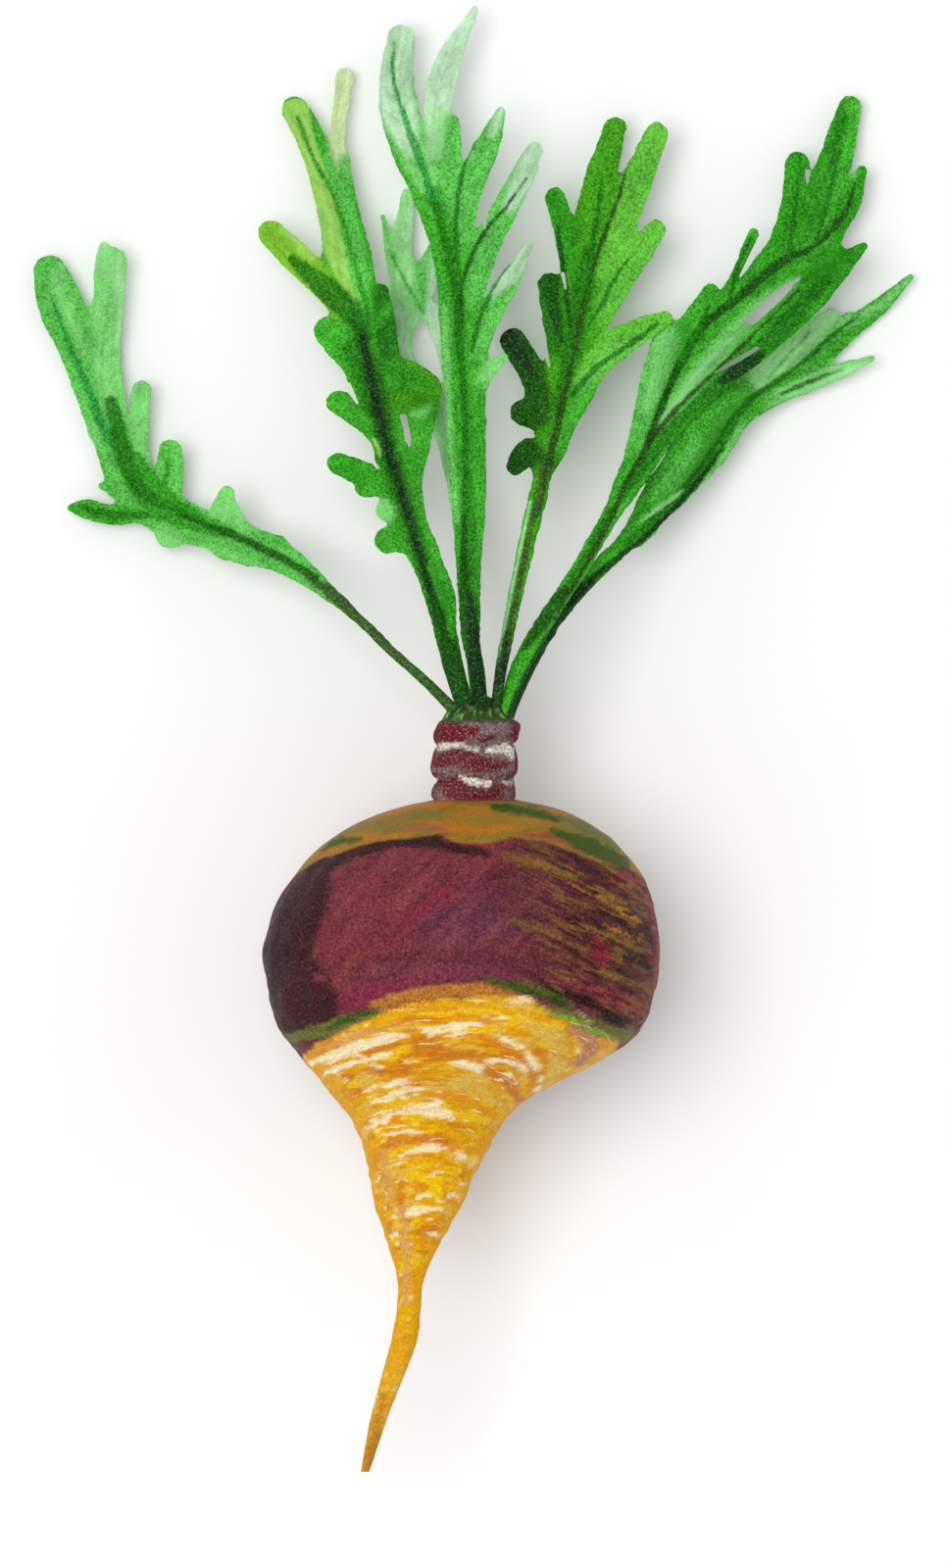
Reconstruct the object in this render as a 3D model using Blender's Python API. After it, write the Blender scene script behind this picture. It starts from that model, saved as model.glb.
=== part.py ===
"""A whole swede with its leaves on, lying on its side.

The plant lies along Y: the long taproot points to -Y, the leaves fan out to +Y, and +Z is up.
The origin is the middle of the small flat spot under the bulb, on which the swede rests.
Eight pieces: the root, which grew as one piece with its taproot and ringed neck, and seven leaves.
The tables below are in millimetres; MM turns them into metres.
"""

import bpy
import numpy as np
from mathutils import Vector
from mathutils.geometry import delaunay_2d_cdt

MM = 0.001

# ------------------------------------------------------------------ driving dimensions, root

SPINE_HEIGHT = 54.2      # height of the root's axis above the rest spot
SPINE_TILT = -0.03       # rise of the axis for each mm towards the leaves
TAIL_START = -80.0       # beyond here the taproot bends down a little further
TAIL_SAG = 0.0013
ROOT_SIDES = 44
ROOT_STEP = 7.2          # spacing of the rings along the taproot and the bulb

BULB_RADIUS = 55.3
BULB_MIDDLE = -3.0       # y of the bulb's widest place
SHOULDER = 46.0          # from there to where the round shoulder would close
SQUARENESS = 2.2         # of the shoulder's curve: 2 is an ellipse, more is squarer
SHOULDER_POINTS = 9
AXIS_LEAN = 1.5          # how late along the shoulder the axis moves over to the neck

# The crooked taproot and the cone above it, up to where the belly's curve begins, placed by eye:
# y along the plant, x of the axis, radius
TAPROOT = [
    (-145.6, -27.0, 1.2), (-130.0, -22.9, 2.4), (-110.0, -16.4, 3.6), (-100.0, -14.8, 3.4),
    (-90.0, -14.1, 4.2), (-70.0, -12.1, 12.4), (-50.0, -9.5, 19.6), (-40.0, -8.0, 28.6),
    (-30.0, -2.4, 42.2), (-20.0, -0.3, 51.4),
]

# the neck: old leaf scars stand out as three rings with waists between them
NECK_X = 4.3
WAIST_RADIUS = 10.7
SCAR_RADIUS = 12.2
FIRST_SCAR = 44.8        # y of the middle of the lowest ring
SCAR_PITCH = 8.5
NECK_START = 43.6
NECK_TOP = 64.2
NECK_TOP_RADIUS = 9.6
NECK_RINGS = 11

# ------------------------------------------------------------------ driving dimensions, leaves

GRID = 1.0               # spacing of the field that a leaf's outline is read from
WEB = 0.9                # how far lobes and midrib flow into each other
OUTLINE_ERROR = 0.28     # how far the faceted outline may leave the smooth one
OUTLINE_STEP = 9.0       # longest straight piece of the outline
RIB_STEP = 6.5           # spacing of the points along midribs and lobe veins
EDGE_THICKNESS = 1.2
RIB_THICKNESS = 2.2      # what a stalk adds to that at its foot; it thins out towards the tip
RIB_UNDER = 0.7          # the part of the rib that stands out below the blade
GUTTER = 0.10            # rise of the blade for each mm away from its rib
LOWEST = 0.2             # leaves that touch the floor stop this far above it

# Each leaf: its midrib as (x, y, z, width) from the foot of the stalk to the tip, and its lobes.
# A lobe is (rise of its tip, then its points (x, y, width)); it starts on the midrib.
# A slit is a narrow gap between lobes, as points (x, y, width).
LEAVES = {
    "leaf_1": {
        "midrib": [
            (-1.6, 67.0, 52.0, 2.9), (-9.5, 75.0, 50.5, 2.7), (-20.0, 84.5, 47.5, 2.7),
            (-30.0, 94.2, 42.5, 3.0), (-40.0, 102.8, 35.5, 5.2), (-50.0, 110.0, 27.5, 8.4),
            (-60.0, 114.5, 20.5, 9.6), (-70.0, 117.6, 14.5, 10.0), (-80.0, 121.6, 9.5, 11.6),
            (-88.0, 127.2, 6.0, 13.6), (-94.2, 135.0, 4.0, 12.6), (-98.4, 146.0, 3.0, 11.0),
            (-103.0, 157.0, 2.6, 10.8), (-107.6, 169.0, 2.6, 11.0), (-112.4, 181.0, 3.6, 12.8),
            (-115.7, 190.8, 5.5, 9.4),
        ],
        "lobes": [
            (6.0, (-99.4, 148.0, 11.0), (-101.2, 164.0, 11.0), (-99.6, 180.0, 8.8), (-98.2, 193.6, 8.4)),
            (6.0, (-100.0, 190.0, 5.0), (-100.5, 198.0, 2.4)),
            (5.0, (-92.2, 138.0, 8.0), (-90.8, 148.0, 5.8), (-89.9, 157.6, 5.4)),
            (4.0, (-84.0, 127.0, 9.0), (-82.0, 134.0, 7.6), (-81.8, 140.2, 6.8)),
            (3.0, (-67.8, 120.0, 7.0), (-66.6, 125.0, 6.4), (-66.0, 128.2, 4.6)),
            (2.0, (-62.0, 117.0, 6.0), (-63.4, 122.4, 3.6)),
            (1.0, (-54.5, 112.0, 7.0), (-51.8, 114.2, 4.4)),
            (-1.5, (-90.0, 124.0, 7.0), (-98.0, 122.6, 5.6), (-106.0, 124.2, 5.2), (-110.0, 124.4, 1.6)),
            (1.0, (-96.0, 130.0, 5.0), (-101.2, 130.6, 2.0)),
            (-2.0, (-82.0, 119.0, 8.0), (-82.2, 116.8, 7.4)),
            (-1.0, (-66.0, 114.0, 8.0), (-60.0, 111.6, 7.0)),
        ],
        "slits": [((-93.5, 151.0, 0.5), (-93.9, 155.0, 1.0), (-94.1, 160.0, 1.6))],
    },
    "leaf_2": {
        "midrib": [
            (1.4, 67.4, 56.0, 4.4), (-1.0, 75.0, 56.5, 5.2), (-3.3, 84.0, 56.0, 6.0),
            (-5.4, 93.0, 54.5, 6.2), (-8.3, 103.0, 51.5, 6.6), (-11.8, 113.0, 47.5, 7.6),
            (-15.2, 123.0, 43.5, 9.0), (-18.2, 133.0, 39.0, 9.0), (-20.6, 143.0, 34.5, 9.0),
            (-23.2, 153.0, 30.0, 9.2), (-25.6, 163.0, 26.0, 10.2), (-28.0, 173.0, 22.0, 11.4),
            (-30.2, 183.0, 18.5, 12.6), (-31.8, 193.0, 15.5, 13.8), (-33.6, 203.0, 12.5, 12.0),
            (-36.2, 213.0, 10.0, 10.8), (-39.6, 222.0, 8.0, 9.0), (-43.6, 230.5, 6.5, 8.0),
            (-46.8, 236.2, 5.5, 7.6),
        ],
        "lobes": [
            (-2.0, (-34.0, 208.0, 8.0), (-33.9, 221.6, 5.0)),
            (-4.0, (-35.6, 218.0, 5.0), (-34.6, 232.0, 4.2), (-32.8, 245.6, 5.0)),
            (-4.0, (-31.0, 180.0, 9.0), (-38.5, 187.2, 8.2), (-46.5, 194.8, 8.4), (-53.3, 201.4, 7.6)),
            (-4.0, (-28.0, 166.0, 11.0), (-33.5, 170.6, 10.4), (-37.4, 173.8, 8.2)),
            (-3.0, (-22.5, 146.0, 7.6), (-29.2, 150.2, 6.6), (-34.6, 153.8, 6.6)),
            (-3.0, (-19.0, 131.0, 8.0), (-27.2, 133.6, 7.0), (-34.6, 136.6, 6.2)),
            (-2.0, (-22.0, 131.0, 6.0), (-27.4, 129.4, 4.4)),
            (-2.0, (-18.0, 124.0, 7.0), (-21.0, 123.6, 6.0)),
            (-2.0, (-15.0, 115.6, 8.0), (-20.8, 115.2, 7.4)),
            (2.0, (-25.0, 160.0, 14.0), (-17.0, 158.6, 15.0), (-11.8, 157.0, 12.6)),
            (2.0, (-22.0, 164.0, 10.0), (-22.2, 176.0, 7.6), (-22.6, 185.0, 4.2)),
            (1.0, (-14.6, 119.0, 7.0), (-13.2, 132.0, 4.4), (-11.6, 143.0, 6.4), (-10.8, 152.0, 8.0)),
            (-1.0, (-11.0, 113.0, 8.0), (-6.6, 106.0, 4.6), (-4.0, 99.6, 4.4), (-4.0, 92.0, 3.6)),
        ],
        "slits": [
            ((-15.4, 147.6, 0.8), (-15.0, 144.0, 1.8), (-14.6, 141.4, 0.6)),
            ((-32.0, 158.6, 2.0), (-29.2, 153.6, 0.7)),
            ((-26.6, 139.2, 1.6), (-23.4, 135.4, 0.7)),
        ],
    },
    "leaf_3": {
        "midrib": [
            (5.8, 66.9, 57.5, 3.2), (4.4, 78.0, 60.0, 4.2), (2.5, 88.0, 61.0, 5.2),
            (2.1, 100.0, 61.0, 6.2), (2.0, 112.0, 59.5, 7.6), (2.0, 125.0, 56.5, 9.4),
            (1.6, 138.0, 52.5, 10.6), (1.2, 150.0, 48.5, 11.0), (0.7, 162.0, 44.0, 11.8),
            (0.0, 175.0, 39.0, 12.2), (-1.0, 188.0, 34.0, 12.0), (-3.6, 200.0, 29.5, 11.4),
            (-8.2, 213.0, 24.5, 11.4), (-13.4, 224.0, 20.5, 11.4), (-17.3, 235.0, 16.5, 10.8),
            (-18.3, 246.0, 13.5, 9.2), (-17.0, 256.4, 11.5, 7.6),
        ],
        "lobes": [
            (-4.0, (-3.6, 204.0, 9.0), (-4.6, 219.0, 9.4), (-4.6, 231.2, 8.4)),
            (-6.0, (-1.6, 199.0, 9.0), (1.4, 212.0, 8.0), (7.4, 226.4, 6.8), (11.0, 235.6, 2.6)),
            (-6.0, (1.4, 181.0, 9.0), (6.0, 196.0, 8.0), (12.0, 207.6, 7.2), (17.4, 218.0, 6.6),
             (20.4, 224.6, 4.6)),
            (-5.0, (2.4, 166.0, 7.4), (7.2, 177.2, 6.8), (12.8, 187.0, 6.0), (18.9, 197.6, 2.2)),
            (-3.0, (4.0, 160.0, 6.0), (8.4, 163.4, 4.4), (12.0, 166.4, 1.8)),
            (-9.0, (-7.8, 226.0, 5.0), (-6.2, 240.0, 7.8), (-3.2, 251.0, 6.8), (3.8, 264.4, 1.8)),
        ],
        "slits": [((6.8, 206.6, 1.4), (6.4, 202.4, 0.6)), ((8.0, 188.0, 1.2), (7.4, 185.6, 0.6))],
    },
    "leaf_4": {
        "midrib": [
            (9.4, 66.8, 56.0, 2.6), (10.9, 78.0, 56.5, 3.2), (12.7, 88.0, 56.0, 3.6),
            (14.7, 98.0, 54.5, 4.0), (16.9, 108.0, 52.0, 4.4), (19.1, 118.0, 48.5, 4.8),
            (21.1, 126.0, 45.0, 5.0), (22.8, 134.0, 41.5, 5.2), (24.6, 142.0, 38.0, 7.0),
            (26.0, 150.0, 35.0, 9.4), (28.2, 159.0, 31.5, 11.0), (31.0, 168.0, 28.0, 12.0),
            (33.6, 177.0, 24.5, 13.0), (35.6, 186.0, 21.5, 13.4), (37.0, 195.0, 18.5, 13.0),
            (38.0, 205.0, 16.0, 12.2), (39.2, 216.0, 13.5, 9.8), (41.4, 225.0, 11.0, 7.4),
            (43.0, 231.0, 9.5, 6.4),
        ],
        "lobes": [
            (-5.0, (39.0, 190.0, 11.0), (44.0, 204.0, 10.0), (49.6, 217.0, 8.4), (54.7, 229.6, 6.4)),
            (-4.0, (38.0, 180.0, 10.0), (45.2, 190.6, 8.6), (50.4, 196.8, 7.2), (54.3, 202.2, 5.8)),
            (-6.0, (30.0, 158.0, 10.0), (39.4, 167.4, 9.6), (49.0, 173.4, 7.6), (57.0, 177.6, 4.2)),
            (-2.0, (26.0, 140.0, 5.0), (29.4, 149.0, 6.8), (33.4, 158.0, 8.4)),
            (-4.0, (32.8, 186.0, 7.4), (29.9, 198.0, 6.4), (26.2, 211.8, 5.4)),
            (-5.0, (29.4, 166.0, 9.0), (26.2, 179.0, 7.4), (24.7, 186.8, 6.6)),
            (-5.0, (24.8, 152.0, 9.0), (19.2, 163.2, 7.6), (14.3, 171.2, 7.0)),
            (-4.0, (25.0, 149.0, 9.0), (17.2, 151.0, 7.2)),
            (-5.0, (23.4, 138.6, 8.0), (18.2, 139.8, 7.2), (15.0, 136.0, 5.0)),
        ],
        "slits": [
            ((45.8, 224.0, 1.8), (44.1, 218.8, 0.6)), ((28.4, 190.0, 1.2), (29.2, 185.6, 0.6)),
            ((23.6, 168.0, 1.4), (24.6, 163.6, 0.6)),
        ],
    },
    "leaf_5": {
        "midrib": [
            (12.3, 66.9, 55.5, 3.0), (15.0, 76.0, 54.5, 4.8), (18.7, 84.0, 52.5, 5.4),
            (23.3, 92.0, 49.5, 5.0), (28.4, 100.0, 46.0, 4.6), (33.2, 107.4, 42.0, 4.6),
            (37.5, 114.8, 37.5, 4.6), (41.9, 122.4, 33.5, 5.0), (46.6, 131.0, 29.5, 6.6),
            (51.2, 140.6, 26.0, 9.0), (55.8, 150.0, 23.0, 11.6), (61.0, 160.0, 20.0, 14.0),
            (67.0, 169.0, 17.5, 14.0), (74.0, 177.4, 15.5, 12.4), (81.0, 185.6, 13.5, 9.6),
            (89.0, 193.0, 12.0, 11.4), (97.0, 200.0, 10.5, 14.0), (101.2, 209.0, 9.0, 12.4),
            (104.0, 219.0, 7.5, 9.8), (107.0, 229.0, 6.0, 8.4), (109.2, 237.2, 5.0, 6.2),
        ],
        "lobes": [
            (-2.0, (50.6, 141.0, 8.0), (53.6, 156.0, 8.4), (55.8, 165.0, 8.6), (58.2, 173.6, 7.6)),
            (0.0, (62.0, 166.0, 10.0), (66.0, 176.0, 9.0), (69.8, 185.0, 4.6)),
            (1.0, (73.6, 179.0, 5.0), (77.4, 190.0, 3.4), (81.9, 201.4, 3.2)),
            (1.0, (91.0, 196.0, 10.0), (93.4, 209.0, 8.0), (94.2, 221.2, 6.4)),
            (-1.0, (102.6, 202.0, 9.0), (108.4, 210.0, 7.2), (112.6, 219.2, 2.8)),
            (-7.0, (46.0, 130.0, 6.4), (54.0, 142.4, 7.0), (62.2, 152.2, 7.4), (72.0, 161.6, 8.4),
             (82.0, 169.6, 9.4), (90.4, 176.8, 9.4), (98.0, 184.4, 9.6), (105.0, 191.4, 7.6),
             (112.6, 197.8, 2.4)),
            (-5.0, (96.0, 196.0, 10.0), (103.0, 194.0, 9.0)),
        ],
        "slits": [
            ((79.0, 176.0, 0.8), (86.0, 181.6, 3.0), (92.6, 186.8, 0.8)),
            ((71.0, 162.2, 0.6), (77.0, 165.6, 1.4), (83.0, 169.2, 1.0)),
            ((78.2, 189.4, 0.6), (80.8, 193.6, 1.6), (83.4, 198.8, 1.8)),
            ((97.2, 218.8, 1.6), (97.0, 215.6, 0.6)),
        ],
    },
    "leaf_6": {
        "midrib": [
            (13.2, 67.0, 49.5, 3.2), (16.8, 76.0, 47.5, 4.2), (21.9, 86.0, 43.5, 4.4),
            (28.0, 95.6, 38.5, 4.6), (34.4, 103.2, 33.5, 5.0), (41.2, 109.8, 29.0, 5.2),
            (47.9, 116.6, 24.0, 5.0), (55.2, 123.2, 19.5, 5.2), (62.4, 129.8, 15.5, 5.6),
            (68.0, 136.6, 12.0, 7.0), (72.6, 144.2, 9.0, 8.0), (77.2, 151.0, 6.5, 8.4),
            (84.8, 156.6, 4.8, 8.2), (93.6, 162.6, 3.6, 7.4), (102.0, 169.0, 2.8, 7.0),
            (109.0, 174.8, 2.6, 6.0), (117.4, 181.2, 3.0, 4.8), (126.0, 189.2, 4.0, 1.8),
        ],
        "lobes": [
            (-1.0, (48.6, 118.0, 5.0), (55.2, 127.4, 10.0), (61.4, 137.0, 12.6), (66.8, 145.4, 13.0),
             (74.6, 152.6, 12.0), (82.0, 158.6, 9.0)),
            (2.0, (86.0, 155.6, 5.4), (96.0, 159.2, 5.2), (106.0, 162.8, 4.2), (115.0, 166.4, 1.6)),
            (0.5, (83.0, 159.0, 9.0), (93.0, 169.0, 9.0), (103.6, 178.6, 3.8)),
            (0.5, (95.0, 166.0, 8.0), (108.4, 177.4, 3.0)),
            (0.0, (71.2, 139.8, 6.0), (76.4, 146.8, 3.0)),
            (-1.0, (49.0, 116.0, 5.0), (53.0, 118.2, 3.0)),
        ],
        "slits": [((52.8, 133.6, 0.6), (55.2, 137.2, 1.3), (57.6, 140.6, 0.6))],
    },
    "leaf_7": {
        "midrib": [
            (4.6, 67.0, 49.5, 3.2), (3.2, 80.0, 46.5, 3.2), (1.6, 95.0, 42.0, 3.4),
            (0.2, 110.0, 36.5, 3.4), (-1.3, 125.0, 30.0, 3.8), (-3.4, 138.0, 23.0, 4.4),
            (-6.4, 149.0, 17.5, 5.4), (-11.0, 158.0, 14.0, 5.8), (-15.0, 164.0, 12.0, 5.6),
            (-17.0, 169.0, 10.6, 5.8), (-16.8, 175.0, 9.2, 7.4), (-15.8, 181.5, 7.7, 9.4),
            (-16.4, 189.0, 6.2, 8.4), (-17.0, 196.0, 5.0, 6.0), (-16.1, 204.0, 4.1, 5.2),
            (-15.2, 212.6, 3.4, 3.4),
        ],
        "lobes": [
            (0.0, (-18.0, 192.0, 5.0), (-20.4, 199.0, 2.8), (-22.2, 206.2, 1.2)),
            (0.5, (-16.0, 180.0, 6.0), (-11.4, 185.6, 7.2), (-9.8, 191.6, 5.6), (-8.4, 197.4, 2.6)),
            (-9.5, (-4.6, 149.0, 3.0), (-4.2, 160.0, 2.4), (-5.2, 168.0, 3.0), (-7.2, 174.0, 3.6),
             (-8.6, 180.0, 4.6)),
        ],
        "slits": [],
    },
}

# name: colour, roughness
COLOURS = {
    "swede_root": ((0.27, 0.05, 0.09), 0.5),
    "leaf_1": ((0.10, 0.36, 0.10), 0.55),
    "leaf_2": ((0.05, 0.25, 0.04), 0.55),
    "leaf_3": ((0.06, 0.34, 0.08), 0.55),
    "leaf_4": ((0.09, 0.32, 0.04), 0.55),
    "leaf_5": ((0.09, 0.33, 0.05), 0.55),
    "leaf_6": ((0.12, 0.36, 0.08), 0.55),
    "leaf_7": ((0.36, 0.62, 0.38), 0.55),
}


# ------------------------------------------------------------------ general helpers

def clear_scene():
    for thing in list(bpy.data.objects):
        bpy.data.objects.remove(thing, do_unlink=True)


def make_material(name):
    colour, roughness = COLOURS[name]
    material = bpy.data.materials.new(name)
    material.use_nodes = True
    shader = material.node_tree.nodes["Principled BSDF"]
    shader.inputs["Base Color"].default_value = (*colour, 1.0)
    shader.inputs["Roughness"].default_value = roughness
    shader.inputs["Metallic"].default_value = 0.0
    return material


def make_object(name, vertices, faces):
    """One closed mesh from points in millimetres."""
    mesh = bpy.data.meshes.new(name)
    mesh.from_pydata([Vector(v) * MM for v in vertices], [], faces)
    mesh.materials.append(make_material(name))
    mesh.shade_smooth()
    mesh.set_sharp_from_angle(angle=0.7)
    thing = bpy.data.objects.new(name, mesh)
    bpy.context.collection.objects.link(thing)
    return thing


def smooth_path(points, step):
    """Catmull-Rom curve through the points, read about every step millimetres."""
    points = np.array(points, float)
    padded = np.vstack([2 * points[0] - points[1], points, 2 * points[-1] - points[-2]])
    rows = []
    for before, start, end, after in zip(padded, padded[1:], padded[2:], padded[3:]):
        count = max(1, round(np.linalg.norm((end - start)[:2]) / step))
        t = np.arange(count)[:, None] / count
        rows.append(start + 0.5 * t * (end - before)
                    + t ** 2 * (before - 2.5 * start + 2 * end - 0.5 * after)
                    + t ** 3 * (1.5 * start - 0.5 * before - 1.5 * end + 0.5 * after))
    rows.append(points[-1:])
    return np.vstack(rows)


# ------------------------------------------------------------------ root

def spine_height(y):
    sag = TAIL_SAG * max(0.0, TAIL_START - y) ** 2
    return SPINE_HEIGHT + SPINE_TILT * y - sag


def shoulder_rows():
    """Rows of (y, radius, x) round the shoulder, from the widest place to the neck."""
    end = np.arccos((WAIST_RADIUS / BULB_RADIUS) ** (SQUARENESS / 2))
    angle = np.linspace(0.0, end, SHOULDER_POINTS)
    up = np.sin(angle) ** (2 / SQUARENESS)
    out = np.cos(angle) ** (2 / SQUARENESS)
    return np.column_stack([BULB_MIDDLE + SHOULDER * up, BULB_RADIUS * out, NECK_X * up ** AXIS_LEAN])


def root_rings():
    """Rows of (y, x, radius): the taproot, the bulb, then the ringed neck."""
    outline = smooth_path(np.vstack([np.array(TAPROOT)[:, [0, 2, 1]], shoulder_rows()]), 0.5)
    length = np.concatenate([[0], np.cumsum(np.hypot(*np.diff(outline[:, :2], axis=0).T))])
    at = np.linspace(0, length[-1], round(length[-1] / ROOT_STEP))
    body = np.column_stack([np.interp(at, length, outline[:, k]) for k in (0, 2, 1)])
    y = np.linspace(NECK_START, NECK_TOP, NECK_RINGS, endpoint=False)
    ridge = np.cos(np.pi * (y - FIRST_SCAR) / SCAR_PITCH) ** 2
    neck = np.column_stack([y, 0 * y + NECK_X, WAIST_RADIUS + (SCAR_RADIUS - WAIST_RADIUS) * ridge])
    return np.vstack([body, neck, (NECK_TOP, NECK_X, NECK_TOP_RADIUS)])


def make_root():
    """A loft of round rings from the taproot's tip to the neck, flat where it rests."""
    vertices = []
    rings = root_rings()
    for y, x, radius in rings:
        for side in range(ROOT_SIDES):
            angle = 2 * np.pi * (side + 0.5) / ROOT_SIDES
            height = spine_height(y) + radius * np.sin(angle)
            vertices.append((x + radius * np.cos(angle), y, max(0.0, height)))
    faces = []
    for ring in range(len(rings) - 1):
        for side in range(ROOT_SIDES):
            a = ring * ROOT_SIDES + side
            b = ring * ROOT_SIDES + (side + 1) % ROOT_SIDES
            faces.append((b, a, a + ROOT_SIDES, b + ROOT_SIDES))
    last = (len(rings) - 1) * ROOT_SIDES
    faces.append(tuple(range(ROOT_SIDES)))
    faces.append(tuple(last + side for side in reversed(range(ROOT_SIDES))))
    return make_object("swede_root", vertices, faces)


# ------------------------------------------------------------------ leaves

def leaf_strokes(leaf):
    """Midrib and lobes as rows of (x, y, z, width, size of the rib there)."""
    midrib = smooth_path(leaf["midrib"], GRID)
    along = np.linspace(1.0, 0.15, len(midrib))[:, None]
    strokes = [np.hstack([midrib, along])]
    for rise, *points in leaf["lobes"]:
        lobe = smooth_path(points, GRID)
        start = np.argmin(np.hypot(*(midrib[:, :2] - lobe[0, :2]).T))
        t = np.linspace(0.0, 1.0, len(lobe))[:, None]
        height = midrib[start, 2] + rise * t
        rib = 0.4 * along[start] * (1.0 - 0.8 * t)
        strokes.append(np.hstack([lobe[:, :2], height, lobe[:, 2:], rib]))
    return strokes


def stroke_distance(stroke, x, y):
    """Distance from each point to the stroke's edge, and the nearest row of the stroke."""
    gap = np.hypot(x[:, None] - stroke[:, 0], y[:, None] - stroke[:, 1])
    edge = gap - 0.5 * np.maximum(stroke[:, 3], 0.4)
    nearest = np.argmin(edge, axis=1)
    rows = np.arange(len(x))
    return edge[rows, nearest], gap[rows, nearest], nearest


def leaf_fields(leaf, x, y):
    """At each plan point: distance to the leaf's edge (negative inside), height, thickness."""
    edges, heights, ribs = [], [], []
    for stroke in leaf_strokes(leaf):
        edge, gap, nearest = stroke_distance(stroke, x, y)
        edges.append(edge)
        heights.append(stroke[nearest, 2] + GUTTER * np.minimum(gap, 7.0))
        ribs.append(stroke[nearest, 4] * np.exp(-(gap / 1.6) ** 2))
    edges = np.array(edges)
    weights = np.exp(-np.clip(edges - edges.min(axis=0), 0, 30) / 2.0)
    weights /= weights.sum(axis=0)
    height = (weights * heights).sum(axis=0)
    nearest_edge = edges.min(axis=0)
    distance = nearest_edge - WEB * np.log(np.exp(-(edges - nearest_edge) / WEB).sum(axis=0))
    for slit in leaf["slits"]:
        points = smooth_path(slit, GRID)
        row = np.insert(points, 2, 0.0, axis=1)
        distance = np.maximum(distance, -stroke_distance(row, x, y)[0])
    return distance, height, np.max(ribs, axis=0)


def crossing(values, points, a, b):
    """Where the field is zero between grid corners a and b."""
    t = values[a] / (values[a] - values[b])
    return (points[a][0] + t * (points[b][0] - points[a][0]),
            points[a][1] + t * (points[b][1] - points[a][1]))


def field_outlines(values, xs, ys):
    """Closed loops where the field changes sign, linked from cell to cell."""
    inside = values < 0
    points = {(i, j): (xs[i], ys[j]) for i in range(len(xs)) for j in range(len(ys))}
    links = {}
    for i in range(len(xs) - 1):
        for j in range(len(ys) - 1):
            corners = [(i, j), (i + 1, j), (i + 1, j + 1), (i, j + 1)]
            cuts = [(corners[k], corners[(k + 1) % 4]) for k in range(4)
                    if inside[corners[k]] != inside[corners[(k + 1) % 4]]]
            if len(cuts) == 4 and inside[corners[0]] == (sum(values[c] for c in corners) < 0):
                cuts = cuts[1:] + cuts[:1]
            for first, second in zip(cuts[::2], cuts[1::2]):
                first, second = tuple(sorted(first)), tuple(sorted(second))
                links.setdefault(first, []).append(second)
                links.setdefault(second, []).append(first)
    loops = []
    while links:
        key = next(iter(links))
        loop = []
        while key in links:
            loop.append(crossing(values, points, *key))
            ahead = links.pop(key)
            key = next((k for k in ahead if k in links), None)
        loops.append(np.array(loop))
    return loops


def simplify(points, error):
    """Keep only the points needed to stay within error, and no very long pieces."""
    start, end = points[0], points[-1]
    span = end - start
    length = np.hypot(*span)
    if len(points) < 3:
        return [start]
    offset = points - start
    if length > 0:
        away = np.abs(offset[:, 0] * span[1] - offset[:, 1] * span[0]) / length
    else:
        away = np.hypot(*offset.T)
    worst = int(np.argmax(away))
    if away[worst] <= error:
        if length <= OUTLINE_STEP:
            return [start]
        worst = len(points) // 2
    return simplify(points[:worst + 1], error) + simplify(points[worst:], error)


def simplify_loop(loop):
    far = int(np.argmax(np.hypot(*(loop - loop[0]).T)))
    closed = np.vstack([loop, loop[:1]])
    return np.array(simplify(closed[:far + 1], OUTLINE_ERROR) + simplify(closed[far:], OUTLINE_ERROR))


def is_inside(point, loops):
    """Even-odd test against all the loops."""
    crossings = 0
    for loop in loops:
        a = loop
        b = np.roll(loop, -1, axis=0)
        spans = (a[:, 1] > point[1]) != (b[:, 1] > point[1])
        rise = np.where(spans, b[:, 1] - a[:, 1], 1.0)
        at = a[:, 0] + (point[1] - a[:, 1]) * (b[:, 0] - a[:, 0]) / rise
        crossings += int((spans & (at > point[0])).sum())
    return crossings % 2 == 1


def rib_points(leaf):
    """Points along every midrib and lobe vein, kept clear of the outline and of each other."""
    kept = []
    for stroke in leaf_strokes(leaf):
        for row in stroke[3::int(RIB_STEP / GRID)]:
            point = row[:2]
            if all(np.hypot(*(point - other)) > 0.6 * RIB_STEP for other in kept):
                kept.append(point)
    kept = np.array(kept)
    distance = leaf_fields(leaf, kept[:, 0], kept[:, 1])[0]
    return kept[distance < -1.1]


def leaf_outline(leaf):
    spots = np.array([row[:2] for row in leaf["midrib"]]
                     + [point[:2] for lobe in leaf["lobes"] for point in lobe[1:]])
    low, high = spots.min(axis=0) - 12.0, spots.max(axis=0) + 12.0
    xs = np.arange(low[0], high[0], GRID)
    ys = np.arange(low[1], high[1], GRID)
    grid_x, grid_y = np.meshgrid(xs, ys, indexing="ij")
    distance = leaf_fields(leaf, grid_x.ravel(), grid_y.ravel())[0]
    loops = field_outlines(distance.reshape(grid_x.shape), xs, ys)
    return [simplify_loop(loop) for loop in loops if len(loop) > 12]


def flat_triangles(loops, inner):
    """Triangles of the leaf's plan, with the outline's edges kept."""
    points = [Vector(p) for p in np.vstack(loops + [inner])]
    edges = []
    first = 0
    for loop in loops:
        edges += [(first + k, first + (k + 1) % len(loop)) for k in range(len(loop))]
        first += len(loop)
    points, _, triangles, _, _, _ = delaunay_2d_cdt(points, edges, [], 0, 1e-5)
    kept = [t for t in triangles if is_inside(sum((points[i] for i in t), Vector((0, 0))) / 3, loops)]
    return points, kept


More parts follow.
